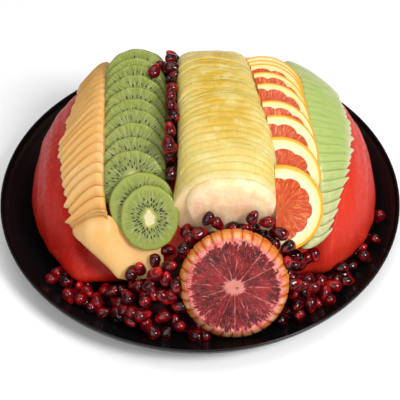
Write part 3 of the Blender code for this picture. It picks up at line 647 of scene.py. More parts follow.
def pineapple_face(paint, y, z):
    """Cream front face with a rosy tint along its threads low on it."""
    front = y.fade(-0.056, -0.069)
    paint.coat(front, paint.spot.noise(130, 4, 0.6).fade(0.35, 0.65).mix("f3cf9c", "fae0b8"))
    thread = paint.spot.stretch(130, 20, 26).noise(1.0, 3, 0.6)
    paint.coat(front * z.fade(0.100, 0.070) * thread.fade(0.38, 0.68) * 0.5, "f0a88c")


def pineapple_paint():
    """Yellow fibrous flesh, golden along the crest, cream at the sides and the front face, with painted shade
    in the creases between slices.
    """
    paint = flesh("pineapple_flesh_wet", 0.27, 0.3, 0.004)
    across, down, _ = paint.local.split()
    _, y, z = paint.spot.split()
    side = abs(across)
    crest = side.fade(0.85, 0.2) * y.fade(-0.055, -0.015)
    blotch = paint.spot.stretch(70, 120, 80).noise(1.0, 3, 0.6)
    paint.colour = paint.cloud(48, 0.3, 0.75).mix("dac274", "d5b85a")
    paint.coat(blotch.fade(0.32, 0.56) * crest * 0.85, "cda426")
    paint.coat(blotch.fade(0.50, 0.30) * side.fade(0.1, 0.8, 0.35, 0.8), "e0d292")
    fibre = paint.join(across * 14, paint.tone * 60).noise(1.6, 3, 0.65)
    paint.coat(fibre.fade(0.52, 0.75, 0, 0.35), "e6dca0")
    # Painted shade: darker gold, broken by the fibres, down each slice into the crease under the next one.
    paint.coat(down.fade(0.74, 1.0) * fibre.fade(0.3, 0.6, 0.0, 0.32), "c0a03a")
    pineapple_face(paint, y, z)
    relief = blotch.bump(0.0012, 0.4, paint.grain(420, 0.0007, 0.5, 4))
    return paint.finish(fibre.bump(0.0010, 0.3, relief), paint.cloud(110, 0.35, 0.65, 0.14, 0.38, 2))


def aril_paint():
    """Glassy dark red juice sacs, with painted glow of light through them in patches and where they thin to a
    tip.
    """
    paint = Paint("pomegranate_aril_red", Roughness=0.10, Specular_IOR_Level=0.24, Coat_Weight=0.3,
                  Coat_Roughness=0.02, Subsurface_Weight=0.05, Subsurface_Scale=0.002,
                  Subsurface_Radius=(1.0, 0.12, 0.08))
    _, _, end = paint.local.split()
    paint.colour = paint.tone.fade(0.15, 0.95).mix("1c0103", "58030a")
    # Painted glow: brighter red patches stand for light shining through the sacs.
    paint.coat(paint.cloud(190, 0.50, 0.66, 0, 0.65, 2), "a0070f")
    # Painted glow: brighter red where each sac thins to its tip.
    paint.coat(end.fade(0.30, 0.95) * paint.tone.fade(0.35, 0.8) * 0.7, "cc1418")
    return paint.finish(paint.grain(240, 0.0005, 0.25, 2))


def core_shade_paint():
    """Near-black red core under the arils, standing for the heap's depths as painted shade."""
    paint = Paint("pomegranate_core_shade", Roughness=0.5, Specular_IOR_Level=0.1)
    patches = paint.spot.noise(200)
    # Painted shade: near-black red, darker than the arils, where the heap's depths lie in shade.
    paint.colour = patches.mix("120103", "2c0206")
    return paint.finish(patches.bump(0.001, 0.5))


def floor_paint():
    """Pale matt floor."""
    paint = Paint("floor_pale", Roughness=0.8)
    paint.colour = paint.spot.noise(3, 2).mix((0.95, 0.95, 0.95, 1), (0.98, 0.98, 0.98, 1))
    return paint.finish()


# ---------------------------------------- meshes

def new_skin():
    """Empty mesh whose points carry a local place and a tone."""
    skin = bmesh.new()
    skin.verts.layers.float_vector.new("local")
    skin.verts.layers.float.new("tone")
    return skin


def add_points(skin, pairs, tone):
    """Add (point, local) pairs to a skin, all of one tone."""
    local = skin.verts.layers.float_vector["local"]
    toned = skin.verts.layers.float["tone"]
    row = []
    for point, place in pairs:
        vert = skin.verts.new(point)
        vert[local] = place
        vert[toned] = tone
        row.append(vert)
    return row


def add_loft(skin, rings, tone, paired=False):
    """Closed skin over rings of (point, local) pairs; paired rings are a top row and its bottom row back."""
    rows = [add_points(skin, ring, tone) for ring in rings]
    for row, following in zip(rows, rows[1:]):
        for i in range(len(row)):
            j = (i + 1) % len(row)
            skin.faces.new((row[i], row[j], following[j], following[i]))
    for row in (rows[0], rows[-1]):
        if paired:
            for i in range(len(row) // 2 - 1):
                skin.faces.new((row[i], row[i + 1], row[-2 - i], row[-1 - i]))
        else:
            skin.faces.new(row)


def add_disc(skin, place, radius, profile, segments, tone, outline=None, relief=None, width=1.0, pattern=1.0,
             start=0.0):
    """Turned shape over a profile of (share of radius, height), with a rim and a relief of its own."""
    rings = []
    for share, height in profile:
        ring = []
        for i in range(segments):
            turn = TURN * (i + start) / segments
            flat = spoke(turn)
            reach = radius * (outline(turn, share) if outline else 1) * share
            rise = relief(share, turn, height) if relief else 0
            point = flat * reach + Vector((0, 0, height + rise))
            point.x *= width
            ring.append((place @ point, Vector((flat.x * share * pattern, flat.y * share * pattern, height))))
        rings.append(ring)
    add_loft(skin, rings, tone)


def piece(name, skin, paint, nodes, angle=40):
    """Finish a skin as a piece that rides on the platter and stands for its nodes."""
    bmesh.ops.recalc_face_normals(skin, faces=skin.faces)
    mesh = bpy.data.meshes.new(name)
    skin.to_mesh(mesh)
    skin.free()
    mesh.materials.append(paint)
    mesh.shade_smooth()
    mesh.set_sharp_from_angle(angle=math.radians(angle))
    made = bpy.data.objects.new(name, mesh)
    bpy.context.scene.collection.objects.link(made)
    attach(made, "root")
    if nodes:
        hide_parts(*nodes)
    return made


def tree_of(pieces):
    """One search tree over several meshes that lie in the shared frame."""
    joined = bmesh.new()
    for item in pieces:
        joined.from_mesh(item.data)
    tree = BVHTree.FromBMesh(joined)
    joined.free()
    return tree


# ---------------------------------------- tray

def tray_inner(radius):
    """Height of the tray's inner face at a radius."""
    if radius <= TRAY_FLOOR_RADIUS:
        return TRAY_FLOOR
    rise = (radius - TRAY_FLOOR_RADIUS) / (TRAY_RADIUS - TRAY_FLOOR_RADIUS)
    return between(TRAY_FLOOR, TRAY_HEIGHT - TRAY_LIP, rise ** TRAY_SWEEP)


def build_tray():
    """Turned tray with a small bead inside its rounded lip."""
    profile = [(TRAY_HUB, TRAY_FLOOR), (TRAY_FLOOR_RADIUS / 2, TRAY_FLOOR)]
    for i in range(25):
        radius = between(TRAY_FLOOR_RADIUS, TRAY_RADIUS - TRAY_EDGE, i / 24)
        bead = TRAY_BEAD * math.exp(-((radius - TRAY_BEAD_RADIUS) / TRAY_BEAD_WIDTH) ** 2)
        profile.append((radius, tray_inner(radius) + bead))
    for turn in range(150, -31, -30):
        round_off = spoke(math.radians(turn)) * TRAY_ROUND
        profile.append((TRAY_RADIUS - TRAY_ROUND + round_off.x, TRAY_HEIGHT - TRAY_ROUND + round_off.y))
    skin = new_skin()
    add_disc(skin, Matrix.Identity(4), 1.0, profile + list(TRAY_UNDER), 176, 0.5)
    return piece("tray_round", skin, tray_paint(), ["tray"], 50)


# ---------------------------------------- watermelon dome

def bow(turn, middle, front, back, height, powers):
    """Point (y, z) at a turn of a squared half ellipse, with a power for its front and its back."""
    run = -math.cos(math.radians(turn))
    rise = math.sin(math.radians(turn))
    reach, power = (front, powers[0]) if run < 0 else (back, powers[1])
    size = squared(run, rise, power)
    return middle + reach * size * run, height * size * rise


def dome_point(x, turn, bed=False):
    """Point of the dome at x and a turn over it, 0 at the front foot and 180 at the back."""
    share = min(0.9999, abs(x - DOME_X) / DOME_HALF_WIDTH)
    scale = (1 - share ** DOME_PLAN_POWER) ** (1 / DOME_PLAN_POWER)
    y, z = bow(turn, DOME_Y, DOME_FRONT * scale, DOME_BACK * scale, DOME_HEIGHT * scale, DOME_POWERS)
    if bed:
        low_y, low_z = bow(turn, BED_Y, BED_FRONT * scale, BED_BACK * scale, BED_HEIGHT * scale, BED_POWERS)
        edge = along(HONEYDEW_LEFT, turn) if x > DOME_X else -along(CANTALOUPE_RIGHT, turn)
        past = abs(x) - max(along(BED_LEAST, turn), edge)
        inside = smooth((past + BED_SHOULDER[1]) / (BED_SHOULDER[1] - BED_SHOULDER[0]))
        y = between(y, low_y, inside)
        z = between(z, low_z, inside)
    z = DOME_FOOT + z * (1 - DOME_FOOT / DOME_HEIGHT)
    if turn < 90:
        swell = SWELL_REACH * math.exp(-((x - SWELL_X) / SWELL_WIDTH) ** 2)
        y -= swell * smooth((SWELL_TOP - z) / SWELL_RISE)
    return Vector((x, y, z))


def dome_normal(x, turn):
    """Outward normal of the whole dome."""
    across = dome_point(x + 0.0005, turn) - dome_point(x - 0.0005, turn)
    forward = dome_point(x, turn + 0.5) - dome_point(x, turn - 0.5)
    return across.cross(forward).normalized()


def peel_cuts(across, turn):
    """How far a knife's long flat cuts lie under the dome, from 0 at their soft ridges."""
    lane = TURN * (across / 0.17 + 0.35 * wave(across * 3, turn / 60, 3.1))
    return PEEL_CUT * (1 - math.cos(lane)) + PEEL_FACET * math.sin(lane * 2.3) ** 2


def build_watermelon():
    """Dome with the knife's soft facets."""
    columns, turns = 132, 96
    rings = []
    middle = Vector((DOME_X, DOME_Y, 0.02))
    for i in range(1, columns):
        angle = math.pi * i / columns
        x = DOME_X - DOME_HALF_WIDTH * math.cos(angle)
        ring = []
        for j in range(turns + 1):
            turn = 180 * j / turns
            point = dome_point(x, turn, True)
            low = max(0.0, 1 - point.z / DOME_TUCK_HEIGHT)
            tuck = 1 - DOME_TUCK * low * low
            point.x = DOME_X + (point.x - DOME_X) * tuck
            point.y = DOME_Y + (point.y - DOME_Y) * tuck
            inward = (middle - point).normalized()
            foot = smooth((math.sin(math.radians(turn)) - 0.02) / 0.2)
            edge = foot * smooth((math.sin(angle) - 0.05) / 0.2)
            depth = peel_cuts(angle, turn) + PEEL_WAVE * (1 + wave(*(point * 60)))
            ring.append((point + inward * depth * edge, Vector((angle, turn / 180, 0))))
        rings.append(ring)
    skin = new_skin()
    add_loft(skin, rings, 0.5)
    return piece("watermelon_peeled", skin, watermelon_paint(), ["watermelon_dome"], 50)


# ---------------------------------------- fanned melon rows

def fan_ring(sides, turn, skew, lift, tooth, down, rise=MELON_INNER_LIFT):
    """Ring across a row with its top from the tucked inner to the outer edge, then its underside back."""
    inner, outer = (along(side, turn) for side in sides)
    width = abs(outer - inner)
    start = -FAN_TUCK / width
    top, under = [], []
    for i in range(FAN_COLUMNS + 1):
        share = min(1.0, start + (1 - start) * i / FAN_COLUMNS)
        shown = max(0.0, share)
        reach = share + tooth * shown * shown / width
        slant = min(179.0, max(10.0, turn - skew * width * max(0.0, reach) ** FAN_CURVE))
        x = along(sides[0], slant) * (1 - reach) + along(sides[1], slant) * reach
        normal = dome_normal(x, slant)
        raised = rise * (0.35 + 0.65 * smooth((slant - 60) / 40)) * (1 - shown ** 1.6) ** 2
        sunk = FAN_SINK * (min(0.0, share) / start) ** 3 + FAN_TIP_DROP * smooth((shown - 0.93) / 0.07)
        height = lift * (1 - 0.3 * shown ** 4) + raised - sunk + FAN_WAVE * wave(share * 3, turn * 0.7)
        low = min(MELON_UNDER, height - 0.002)
        top.append((dome_point(x, slant) + normal * height, Vector((share, down, 0))))
        under.append((dome_point(x, slant) + normal * low, Vector((share, down, 1))))
    return top + under[::-1]


def slice_steps(high, low):
    """Places down one fanned slice: share of its length, height and share of its outer tip."""
    return ((0.0, high - 0.0009, 0.92), (0.04, high - 0.0002, 1.0), (0.12, high, 1.0),
            (0.40, high * 0.7 + low * 0.3, 0.7), (0.75, high * 0.3 + low * 0.7, 0.35), (0.98, low, 0.1))


def build_fan(skin, sides, slices, turns, skew, widen, rise, step, tips):
    """Row of thin slices, wider to the front, each lying on the one behind it."""
    marks = []
    for i in range(slices + 1):
        share = i / slices
        shift = random.uniform(-0.4, 0.4) if 0 < i < slices else 0.0
        marks.append(between(turns[1], turns[0], share * (1 - widen + share * widen)) + shift)
    for back, front in zip(marks, marks[1:]):
        tooth = (FAN_TOOTH[0] + FAN_TOOTH[1] * random.random()) * (1 + tips * smooth((85 - back) / 30))
        high = MELON_LIFT + step + random.uniform(-0.0003, 0.0002)
        bend = along(skew, back) * random.uniform(0.95, 1.05)
        rings = [fan_ring(sides, between(back, front, down), bend, lift, tooth * tip, down, rise)
                 for down, lift, tip in slice_steps(high, MELON_LIFT - step)]
        add_loft(skin, rings, random.random(), True)


def front_edge(line, x):
    """Point (y, z) of the wide slice's upper edge, bend or lower edge, its lines 1 to 3, at x."""
    return [along([(spot[0], spot[line][k]) for spot in FRONT_SLICE], x) for k in range(2)]


def build_fillers(skin):
    """Thin slices squeezed between the fan's front and the wide slice, spread toward the kiwi."""
    turn = CANTALOUPE_TURNS[0]
    bend = along(CANTALOUPE_SKEW, turn)
    last = [spot for spot, _ in fan_ring((CANTALOUPE_RIGHT, CANTALOUPE_LEFT), turn, bend, 0.0016, 0, 0)]
    for k in range(CANTALOUPE_FILLERS):
        rings = []
        high = FILLER_HIGH + random.uniform(-0.0003, 0.0003)
        for down, lift, tip in slice_steps(high, FILLER_LOW):
            part = (k + 1.15 * down) / CANTALOUPE_FILLERS
            top, under = [], []
            for i, spot in enumerate(last[:FAN_COLUMNS + 1]):
                share = i / FAN_COLUMNS
                x = FILLER_INNER - FILLER_WIDTH * share
                out = Vector((-0.25 - 0.3 * share, -0.55, 0.78)).normalized()
                point = spot.lerp(Vector((x, *front_edge(1, x))), part)
                point += Vector((-0.0022, -0.0012, 0)) * tip * share ** 3
                top.append((point + out * (lift - 0.0006 * part), Vector((share, down, 0))))
                under.append((point - out * FILLER_UNDER, Vector((share, down, 1))))
            rings.append(top + under[::-1])
        add_loft(skin, rings, random.random(), True)


def build_cantaloupe(paint):
    """Cantaloupe fan with its squeezed front slices."""
    random.seed(7)
    skin = new_skin()
    build_fan(skin, (CANTALOUPE_RIGHT, CANTALOUPE_LEFT), CANTALOUPE_SLICES, CANTALOUPE_TURNS,
              CANTALOUPE_SKEW, 0.35, MELON_INNER_LIFT, MELON_STEP, 1.0)
    build_fillers(skin)
    return piece("cantaloupe_slices", skin, paint, ["cantaloupe_fan"], 48)


def build_honeydew():
    """Honeydew fan, flatter and with even tips."""
    random.seed(9)
    skin = new_skin()
    build_fan(skin, (HONEYDEW_LEFT, HONEYDEW_RIGHT), HONEYDEW_SLICES, HONEYDEW_TURNS, HONEYDEW_SKEW, 0.25,
              HONEYDEW_INNER_LIFT, HONEYDEW_STEP, 0.0)
    return piece("honeydew_slices", skin, honeydew_paint(), ["honeydew_fan"], 48)


def front_slice_row(x, steps):
    """Points down the wide slice at x, on a curve through its upper edge, its bend and its lower edge."""
    edges = [front_edge(line, x) for line in (1, 2, 3)]
    edges[0] = [value + along(FRONT_SLICE_TUCK, x) for value in edges[0]]
    row = []
    for j in range(steps + 1):
        t = j / steps
        weights = (2 * (t - 0.5) * (t - 1), -4 * t * (t - 1), 2 * t * (t - 0.5))
        y, z = (sum(w * spot[m] for w, spot in zip(weights, edges)) for m in range(2))
        row.append(Vector((x, y, z)))
    return row


def build_front_slice(paint):
    """Wide cantaloupe slice bent over the dome's front."""
    across, down = 36, 14
    rows = [front_slice_row(between(FRONT_SLICE[0][0], FRONT_SLICE[-1][0], i / across), down)
            for i in range(across + 1)]
    rings = []
    for i, row in enumerate(rows):
        near, far = rows[min(across, i + 1)], rows[max(0, i - 1)]
        top, under = [], []
        for j, point in enumerate(row):
            out = (near[j] - far[j]).cross(row[min(down, j + 1)] - row[max(0, j - 1)]).normalized()
            if out.y > 0:
                out = -out
            share = j / down
            rim = min(share, 1 - share, i / across, 1 - i / across)
            thick = FRONT_SLICE_THICKNESS - FRONT_SLICE_THIN * (1 - smooth(rim / 0.05))
            thick += FRONT_SLICE_WAVE * wave(i * 0.3, j * 0.3)
            top.append((point + out * thick, Vector((0.3, 0.1 + 0.3 * share, 0))))
            under.append((point, Vector((0.3, 0.9, 1))))
        rings.append(top + under[::-1])
    skin = new_skin()
    add_loft(skin, rings, 0.3, True)
    return piece("cantaloupe_wide_slice", skin, paint, ["cantaloupe_front_slice"], 48)


# ---------------------------------------- round slices

def slice_frame(x, y, z, tilt, roll, radius, thickness):
    """Frame of a round slice whose upper rim touches (y, z) and whose face looks to the front."""
    back = Vector((0, math.cos(math.radians(tilt)), math.sin(math.radians(tilt))))
    face = Matrix.Rotation(math.radians(roll), 3, back) @ Vector((0, -back.z, back.y))
    made = Matrix((back.cross(face), back, face)).transposed().to_4x4()
    made.translation = Vector((x, y, z)) - back * radius - face * thickness / 2
    return made


def disc_profile(thickness, round_off, rings=12):
    """Face, rounded rim and back of a flat slice."""
    half = thickness / 2
    face = [((i + 0.15) / rings * (1 - round_off), half) for i in range(rings)]
    rim = [(1 - round_off + round_off * math.cos(turn), half * math.sin(turn))
           for turn in (math.radians(90 - 36 * k) for k in range(6))]
    return face + rim + [(share, -half) for share, _ in reversed(face[::2])]


def kiwi_outline(count):
    """Peeled outline: a number of long flats round the slice, with soft corners."""
    cuts = [(TURN * (k + random.uniform(-0.25, 0.25)) / count, random.uniform(0.965, 0.985))
            for k in range(count)]

    def outline(turn, share):
        """Reach at a turn."""
        total = sum(math.exp(-60 * reach / max(0.2, math.cos(turn - at))) for at, reach in cuts
                    if math.cos(turn - at) > 0.2)
        return min(1.0, -math.log(total) / 60 + 0.004)

    return outline


def kiwi_relief(number):
    """Sunken seed ring and a faint waviness, of its own for each slice."""

    def relief(share, turn, height):
        """Height added to a face."""
        if abs(height) < KIWI_THICKNESS * 0.45:
            return 0.0
        belt = smooth((share - 0.22) / 0.08) * smooth((0.80 - share) / 0.1)
        waviness = KIWI_WAVE * wave(math.cos(turn) * 6, math.sin(turn) * 6, share * 5 + number)
        return math.copysign(1, height) * (waviness - KIWI_PIT * belt)

    return relief


def add_seeds(seeds, place, pattern, width):
    """Two rings of seeds sunk in a slice's face."""
    for k in range(KIWI_SEEDS):
        turn = TURN * (k + random.uniform(-0.3, 0.3)) / KIWI_SEEDS
        share = random.uniform(*KIWI_SEED_RINGS[k % 2]) / pattern
        spot = spoke(turn) * KIWI_RADIUS * share + Vector((0, 0, KIWI_THICKNESS / 2 - KIWI_SEED_SINK))
        spot.x *= width
        seed = bmesh.ops.create_icosphere(seeds, subdivisions=2, radius=1)["verts"]
        size = random.uniform(0.7, 1.15)
        form = Matrix.Diagonal((KIWI_SEED[0] * size, KIWI_SEED[1] * size, KIWI_SEED[2], 1))
        turned = Matrix.Translation(spot) @ (Matrix.Rotation(turn, 4, "Z") @ form)
        for vert in seed:
            vert.co.y *= 1 - 0.35 * vert.co.x
            vert.co = place @ (turned @ vert.co)


def build_kiwi():
    """Row of knife-peeled kiwi slices with their seeds."""
    skin, seeds = new_skin(), new_skin()
    last = len(KIWI_ROW) - 1
    for number, (y, z, tilt, x) in enumerate(KIWI_ROW):
        random.seed(100 + number)
        width = KIWI_FRONT_WIDTH if number == last else 1.0
        pattern = 1.0 if number >= last - 1 else random.choice(KIWI_PATTERNS)
        place = slice_frame(x, y, z, tilt, 0, KIWI_RADIUS, KIWI_THICKNESS)
        outline = kiwi_outline(random.randint(11, 14))
        add_disc(skin, place, KIWI_RADIUS, disc_profile(KIWI_THICKNESS, 0.05), 96, random.random(),
                 outline, kiwi_relief(number), width, pattern)
        add_seeds(seeds, place, pattern, width)
    names = [f"kiwi_{i + 1:02d}" for i in range(len(KIWI_ROW))]
    made = piece("kiwi_slices", skin, kiwi_paint(), names)
    piece("kiwi_seeds", seeds, seed_paint(), [], 80)
    return made


def cut_at_pineapple(skin, y, tilt):
    """Cut an orange slice a little inside the pineapple's side wall."""
    low = y - 2 * ORANGE_RADIUS * math.cos(math.radians(tilt))
    first, last = along(PINEAPPLE_RIGHT, low), along(PINEAPPLE_RIGHT, y)
    normal = Vector((low - y, last - first, 0)).normalized()
    bmesh.ops.bisect_plane(skin, geom=skin.verts[:] + skin.edges[:] + skin.faces[:],
                           plane_co=Vector((first - ORANGE_TUCK, low, 0)), plane_no=normal,
                           clear_outer=True)
    bmesh.ops.holes_fill(skin, edges=[edge for edge in skin.edges if edge.is_boundary])


def orange_disc(number, y, z, tilt, x, roll):
    """One orange slice as a mesh."""
    place = slice_frame(x, y, z, tilt, roll, ORANGE_RADIUS, ORANGE_THICKNESS)
    part = (number + 0.5) / len(ORANGE_ROW)
    flesh_share = 0.865 - 0.15 * smooth((part - 0.62) / 0.35)
    spin = Matrix.Rotation(random.uniform(0, TURN), 4, "Z")

    def outline(turn, share):
        """Nearly round rim."""
        return 0.992 + 0.008 * wave(math.cos(turn) * 2, math.sin(turn) * 2, number)

    def relief(share, turn, height):
        """Rind and pith stand a little above the pulp, which is grainy."""
        if abs(height) < ORANGE_THICKNESS * 0.45:
            return 0.0
        grain = wave(math.cos(turn) * share * 14, math.sin(turn) * share * 14, number * 3)
        pulp_area = math.copysign(1, height) * smooth((flesh_share - share) / 0.06)
        return pulp_area * (ORANGE_GRAIN * grain - ORANGE_PULP)

    skin = new_skin()
    add_disc(skin, place @ spin, ORANGE_RADIUS, disc_profile(ORANGE_THICKNESS, 0.035, 16), 120,
             part, outline, relief)
    cut_at_pineapple(skin, y, tilt)
    mesh = bpy.data.meshes.new("orange_disc")
    skin.to_mesh(mesh)
    skin.free()
    return mesh


def build_oranges():
    """Row of orange slices."""
    random.seed(31)
    whole = new_skin()
    for number, row in enumerate(ORANGE_ROW):
        mesh = orange_disc(number, *row)
        whole.from_mesh(mesh)
        bpy.data.meshes.remove(mesh)
    names = [f"orange_{i + 1:02d}" for i in range(len(ORANGE_ROW))]
    return piece("orange_slices", whole, orange_paint(), names)


# ---------------------------------------- pineapple

def pineapple_path():
    """Crest of the pineapple row from the back foot to its upright front face, as (y, z)."""
    path = []
    for turn in range(178, 89, -2):
        path.append(bow(turn, PINEAPPLE_FLAT, 1, PINEAPPLE_BACK, PINEAPPLE_HEIGHT, PINEAPPLE_POWERS))
    for turn in range(90, 0, -1):
        y, z = bow(turn, 0.0, PINEAPPLE_FRONT, 1, PINEAPPLE_HEIGHT, PINEAPPLE_POWERS)
        if y < PINEAPPLE_FACE:
            break
        path.append((y, z))
    return path


def walk(path, share):
    """Point a share of the way along a path."""
    steps = [math.dist(a, b) for a, b in zip(path, path[1:])]
    left = sum(steps) * share
    for (a, b), step in zip(zip(path, path[1:]), steps):
        if left <= step and step > 0:
            return tuple(low + (high - low) * left / step for low, high in zip(a, b))
        left -= step
    return path[-1]


def pineapple_crest(path, share):
    """Crest point, up direction and half width of the row at a share of its length."""
    y, z = walk(path, share)
    tilt = math.radians(PINEAPPLE_TILT * share)
    left, right = along(PINEAPPLE_LEFT, y), along(PINEAPPLE_RIGHT, y)
    return Vector(((left + right) / 2, y, z)), Vector((0, math.cos(tilt), math.sin(tilt))), (right - left) / 2


def clear_depth(bed, crest, up, half, lift, limit):
    """How far down the row reaches before it meets the bed anywhere across it."""
    depth = limit
    for k in range(5):
        start = crest + up * lift + Vector((half * (k / 2 - 1), 0, 0))
        hit, _, _, reach = bed.ray_cast(start, -up)
        if hit:
            depth = min(depth, reach - PINEAPPLE_CLEAR)
    return depth


def pineapple_ring(bed, path, share, lift, slim, number, down):
    """Arch across the row, bowed to the front at its sides, in a leaning plane on the bed."""
    crest, up, half = pineapple_crest(path, share)
    limit = PINEAPPLE_FACE_DEPTH + (1 - share) * PINEAPPLE_DEEPEN
    depth = clear_depth(bed, crest, up, half, lift, min(PINEAPPLE_DEPTH, limit))
    toward_face = smooth((share - 0.80) / 0.20)
    power = between(PINEAPPLE_ARCH_POWER[1], PINEAPPLE_ARCH_POWER[0], toward_face)
    arch = min(depth * 0.97, half * (0.7 + 0.3 * toward_face))
    foot = between(1, PINEAPPLE_FACE_FOOT, toward_face)
    inset = PINEAPPLE_INSET if number == PINEAPPLE_SLICES - 1 else -PINEAPPLE_FLARE * toward_face
    bend = PINEAPPLE_BOW / PINEAPPLE_SLICES * (1 - smooth((share - 0.85) / 0.13))
    top_row, low_row = [], []
    for i in range(PINEAPPLE_COLUMNS + 1):
        turn = math.pi * i / PINEAPPLE_COLUMNS
        across, rise = -math.cos(turn), math.sin(turn)
        size = squared(across, rise, power)
        place = size * across
        bowed = share + bend * (place * place - 0.3 + 0.5 * wave(place * 1.3, number * 0.2))
        top, lean, span = pineapple_crest(path, max(0.0, bowed))
        height = lift * (1 + 1.1 * wave(place * 2.6, number * 1.7)) + 0.0005 * wave(place * 6, number * 2.3)
        height -= PINEAPPLE_SETTLE
        left = inset * smooth(-across * 1.5)
        low = 1 - size * rise
        spot = top + Vector(((span - slim) * place + left * low * low, 0, 0)) + lean * (height * rise - slim)
        top_row.append((spot - lean * arch * low, Vector((place, down, 0))))
        base = crest + Vector((half * across * foot + left, 0, 0))
        hit, _, _, reach = bed.ray_cast(base, -up)
        drop = max(depth, min(reach + PINEAPPLE_SEAT, limit + PINEAPPLE_REACH)) if hit else depth
        low_row.append((base - up * drop, Vector((across, down, 1))))
    return top_row + low_row[::-1]


def build_pineapple(bed):
    """Row of thin half-round slices, leaning back on one another, the front one with a worn edge."""
    random.seed(5)
    path = pineapple_path()
    skin = new_skin()
    marks = [i + random.uniform(-0.3, 0.3) for i in range(PINEAPPLE_SLICES)] + [PINEAPPLE_SLICES]
    for i in range(PINEAPPLE_SLICES):
        lift = PINEAPPLE_STEP * random.choice(PINEAPPLE_LIFTS)
        drop = PINEAPPLE_STEP * random.choice(PINEAPPLE_DROPS)
        steps = ((-0.40, lift - drop - 0.0016, 0.0), (0.02, lift - drop, 0.0), (0.30, lift - drop * 0.6, 0.0),
                 (0.72, lift - drop * 0.1, 0.0), (0.90, lift, 0.0001), (0.98, lift, 0.0006))
        if i == PINEAPPLE_SLICES - 1:
            steps = steps[:3] + ((0.55, lift, 0.0003), (0.78, lift, 0.0010), (0.93, lift, 0.0021),
                                 (1.0, lift, 0.0036))
        start, end = marks[i] / PINEAPPLE_SLICES, marks[i + 1] / PINEAPPLE_SLICES
        rings = [pineapple_ring(bed, path, between(start, end, down), height, slim, i, down)
                 for down, height, slim in steps]
        add_loft(skin, rings, random.random(), True)
    return piece("pineapple_slices", skin, pineapple_paint(), ["pineapple_fan"], 50)


# ---------------------------------------- blood orange

def blood_outline(turn, share):
    """Rim notched by the scores in the rind, and nearly round."""
    score = 1 - smooth(abs(math.sin(turn * BLOOD_NOTCHES / 2)) / 0.26)
    notched = 1 - BLOOD_SCORE * score * smooth((share - 0.955) / 0.06)
    return notched * (1 + 0.006 * (wave(math.cos(turn) * 1.5, math.sin(turn) * 1.5) - 1) * smooth(share))


def blood_relief(share, turn, height):
    """Grainy pulp, a raised pith edge and a sunken middle."""
    if height < -0.0005:
        return 0.0
    x, y = math.cos(turn) * share, math.sin(turn) * share
    grain = 0.00035 * wave(x * 9, y * 9) + 0.00022 * wave(math.cos(turn) * 9, math.sin(turn) * 9, share * 3)
    pulp_area = smooth((0.98 - share) / 0.06) * smooth((share - 0.17) / 0.05)
    hole = BLOOD_HOLE * smooth(1 - math.dist((x, y), BLOOD_HOLE_SPOT) / 0.045)
    return pulp_area * (grain - BLOOD_SINK) - hole


def build_blood_orange():
    """Thick slice with a scored rind, narrower at its face than at its back."""
    tilt = math.radians(BLOOD_TILT)
    back = Vector((0, math.cos(tilt), math.sin(tilt)))
    face = Vector((0, -back.z, back.y))
    place = Matrix((Vector((1, 0, 0)), back, face)).transposed().to_4x4()
    place.translation = Vector(BLOOD_FOOT) + back * BLOOD_BACK_RADIUS + face * BLOOD_THICKNESS
    widest = BLOOD_BACK_RADIUS / BLOOD_FACE_RADIUS
    profile = [((i + 0.12) / 22 * 0.965, 0.0) for i in range(22)]
    profile += [(0.975, -0.0001), (0.992, -0.0003), (1.0, -0.0009)]
    for i in range(1, 13):
        bulge = BLOOD_BULGE * math.sin(math.pi * i / 12) / BLOOD_FACE_RADIUS
        profile.append((between(1, widest, i / 12) + bulge, -BLOOD_THICKNESS * i / 12))
    profile += [(share * widest, -BLOOD_THICKNESS) for share in (0.97, 0.7, 0.4, 0.01)]
    skin = new_skin()
    add_disc(skin, place, BLOOD_FACE_RADIUS, profile, BLOOD_NOTCHES * 10, 0.37, blood_outline, blood_relief,
             start=0.5)
    return piece("blood_orange_thick_slice", skin, blood_orange_paint(), ["blood_orange_slice"])


# ---------------------------------------- arils

def aril_shapes(count):
    """Rounded, faceted teardrops as lists of points, with the triangles that join them."""
    random.seed(77)
    shapes = []
    for _ in range(count):
        ball = bmesh.new()
        bmesh.ops.create_icosphere(ball, subdivisions=3, radius=1)
        cuts = []
        for _ in range(8):
            normal = Vector((random.gauss(0, 1), random.gauss(0, 1), random.gauss(0, 0.45))).normalized()
            cuts.append((normal, random.uniform(0.84, 0.96)))
        points = []
        for vert in ball.verts:
            total = math.exp(-ARIL_EDGES)
            for normal, reach in cuts:
                facing = vert.co.dot(normal)
                if facing > 0.15:
                    total += math.exp(-ARIL_EDGES * reach / facing)
            spot = vert.co * min(1.0, -math.log(total) / ARIL_EDGES + 0.07)
            thick = (1 - ARIL_TAPER * spot.z) * ARIL_WIDTH / 2
            points.append(Vector((spot.x * thick * 1.10, spot.y * thick, spot.z * ARIL_LENGTH / 2)))
        ball.verts.index_update()
        shapes.append((points, [tuple(vert.index for vert in face.verts) for face in ball.faces]))
        ball.free()
    return shapes


class Arils:
    """Joined arils that keep a little room round one another."""

    def __init__(self, shapes):
        self.shapes = shapes
        self.skin = new_skin()
        self.places = []

    def free(self, spot, room):
        """Whether no other aril is within a distance."""
        return all((spot - other).length > room for other in self.places)

    def add(self, spot, turn, size):
        """Add one aril, no lower than the tray's inner face carries it."""
        points, faces = random.choice(self.shapes)
        spot.z = max(spot.z, tray_inner(math.hypot(spot.x, spot.y)) + ARIL_WIDTH * 0.45)
        pairs = [(spot + turn @ (point * size), Vector((point.x, point.y, point.z / (ARIL_LENGTH / 2))))
                 for point in points]
        verts = add_points(self.skin, pairs, random.random())
        for face in faces:
            self.skin.faces.new([verts[i] for i in face])
        self.places.append(spot)


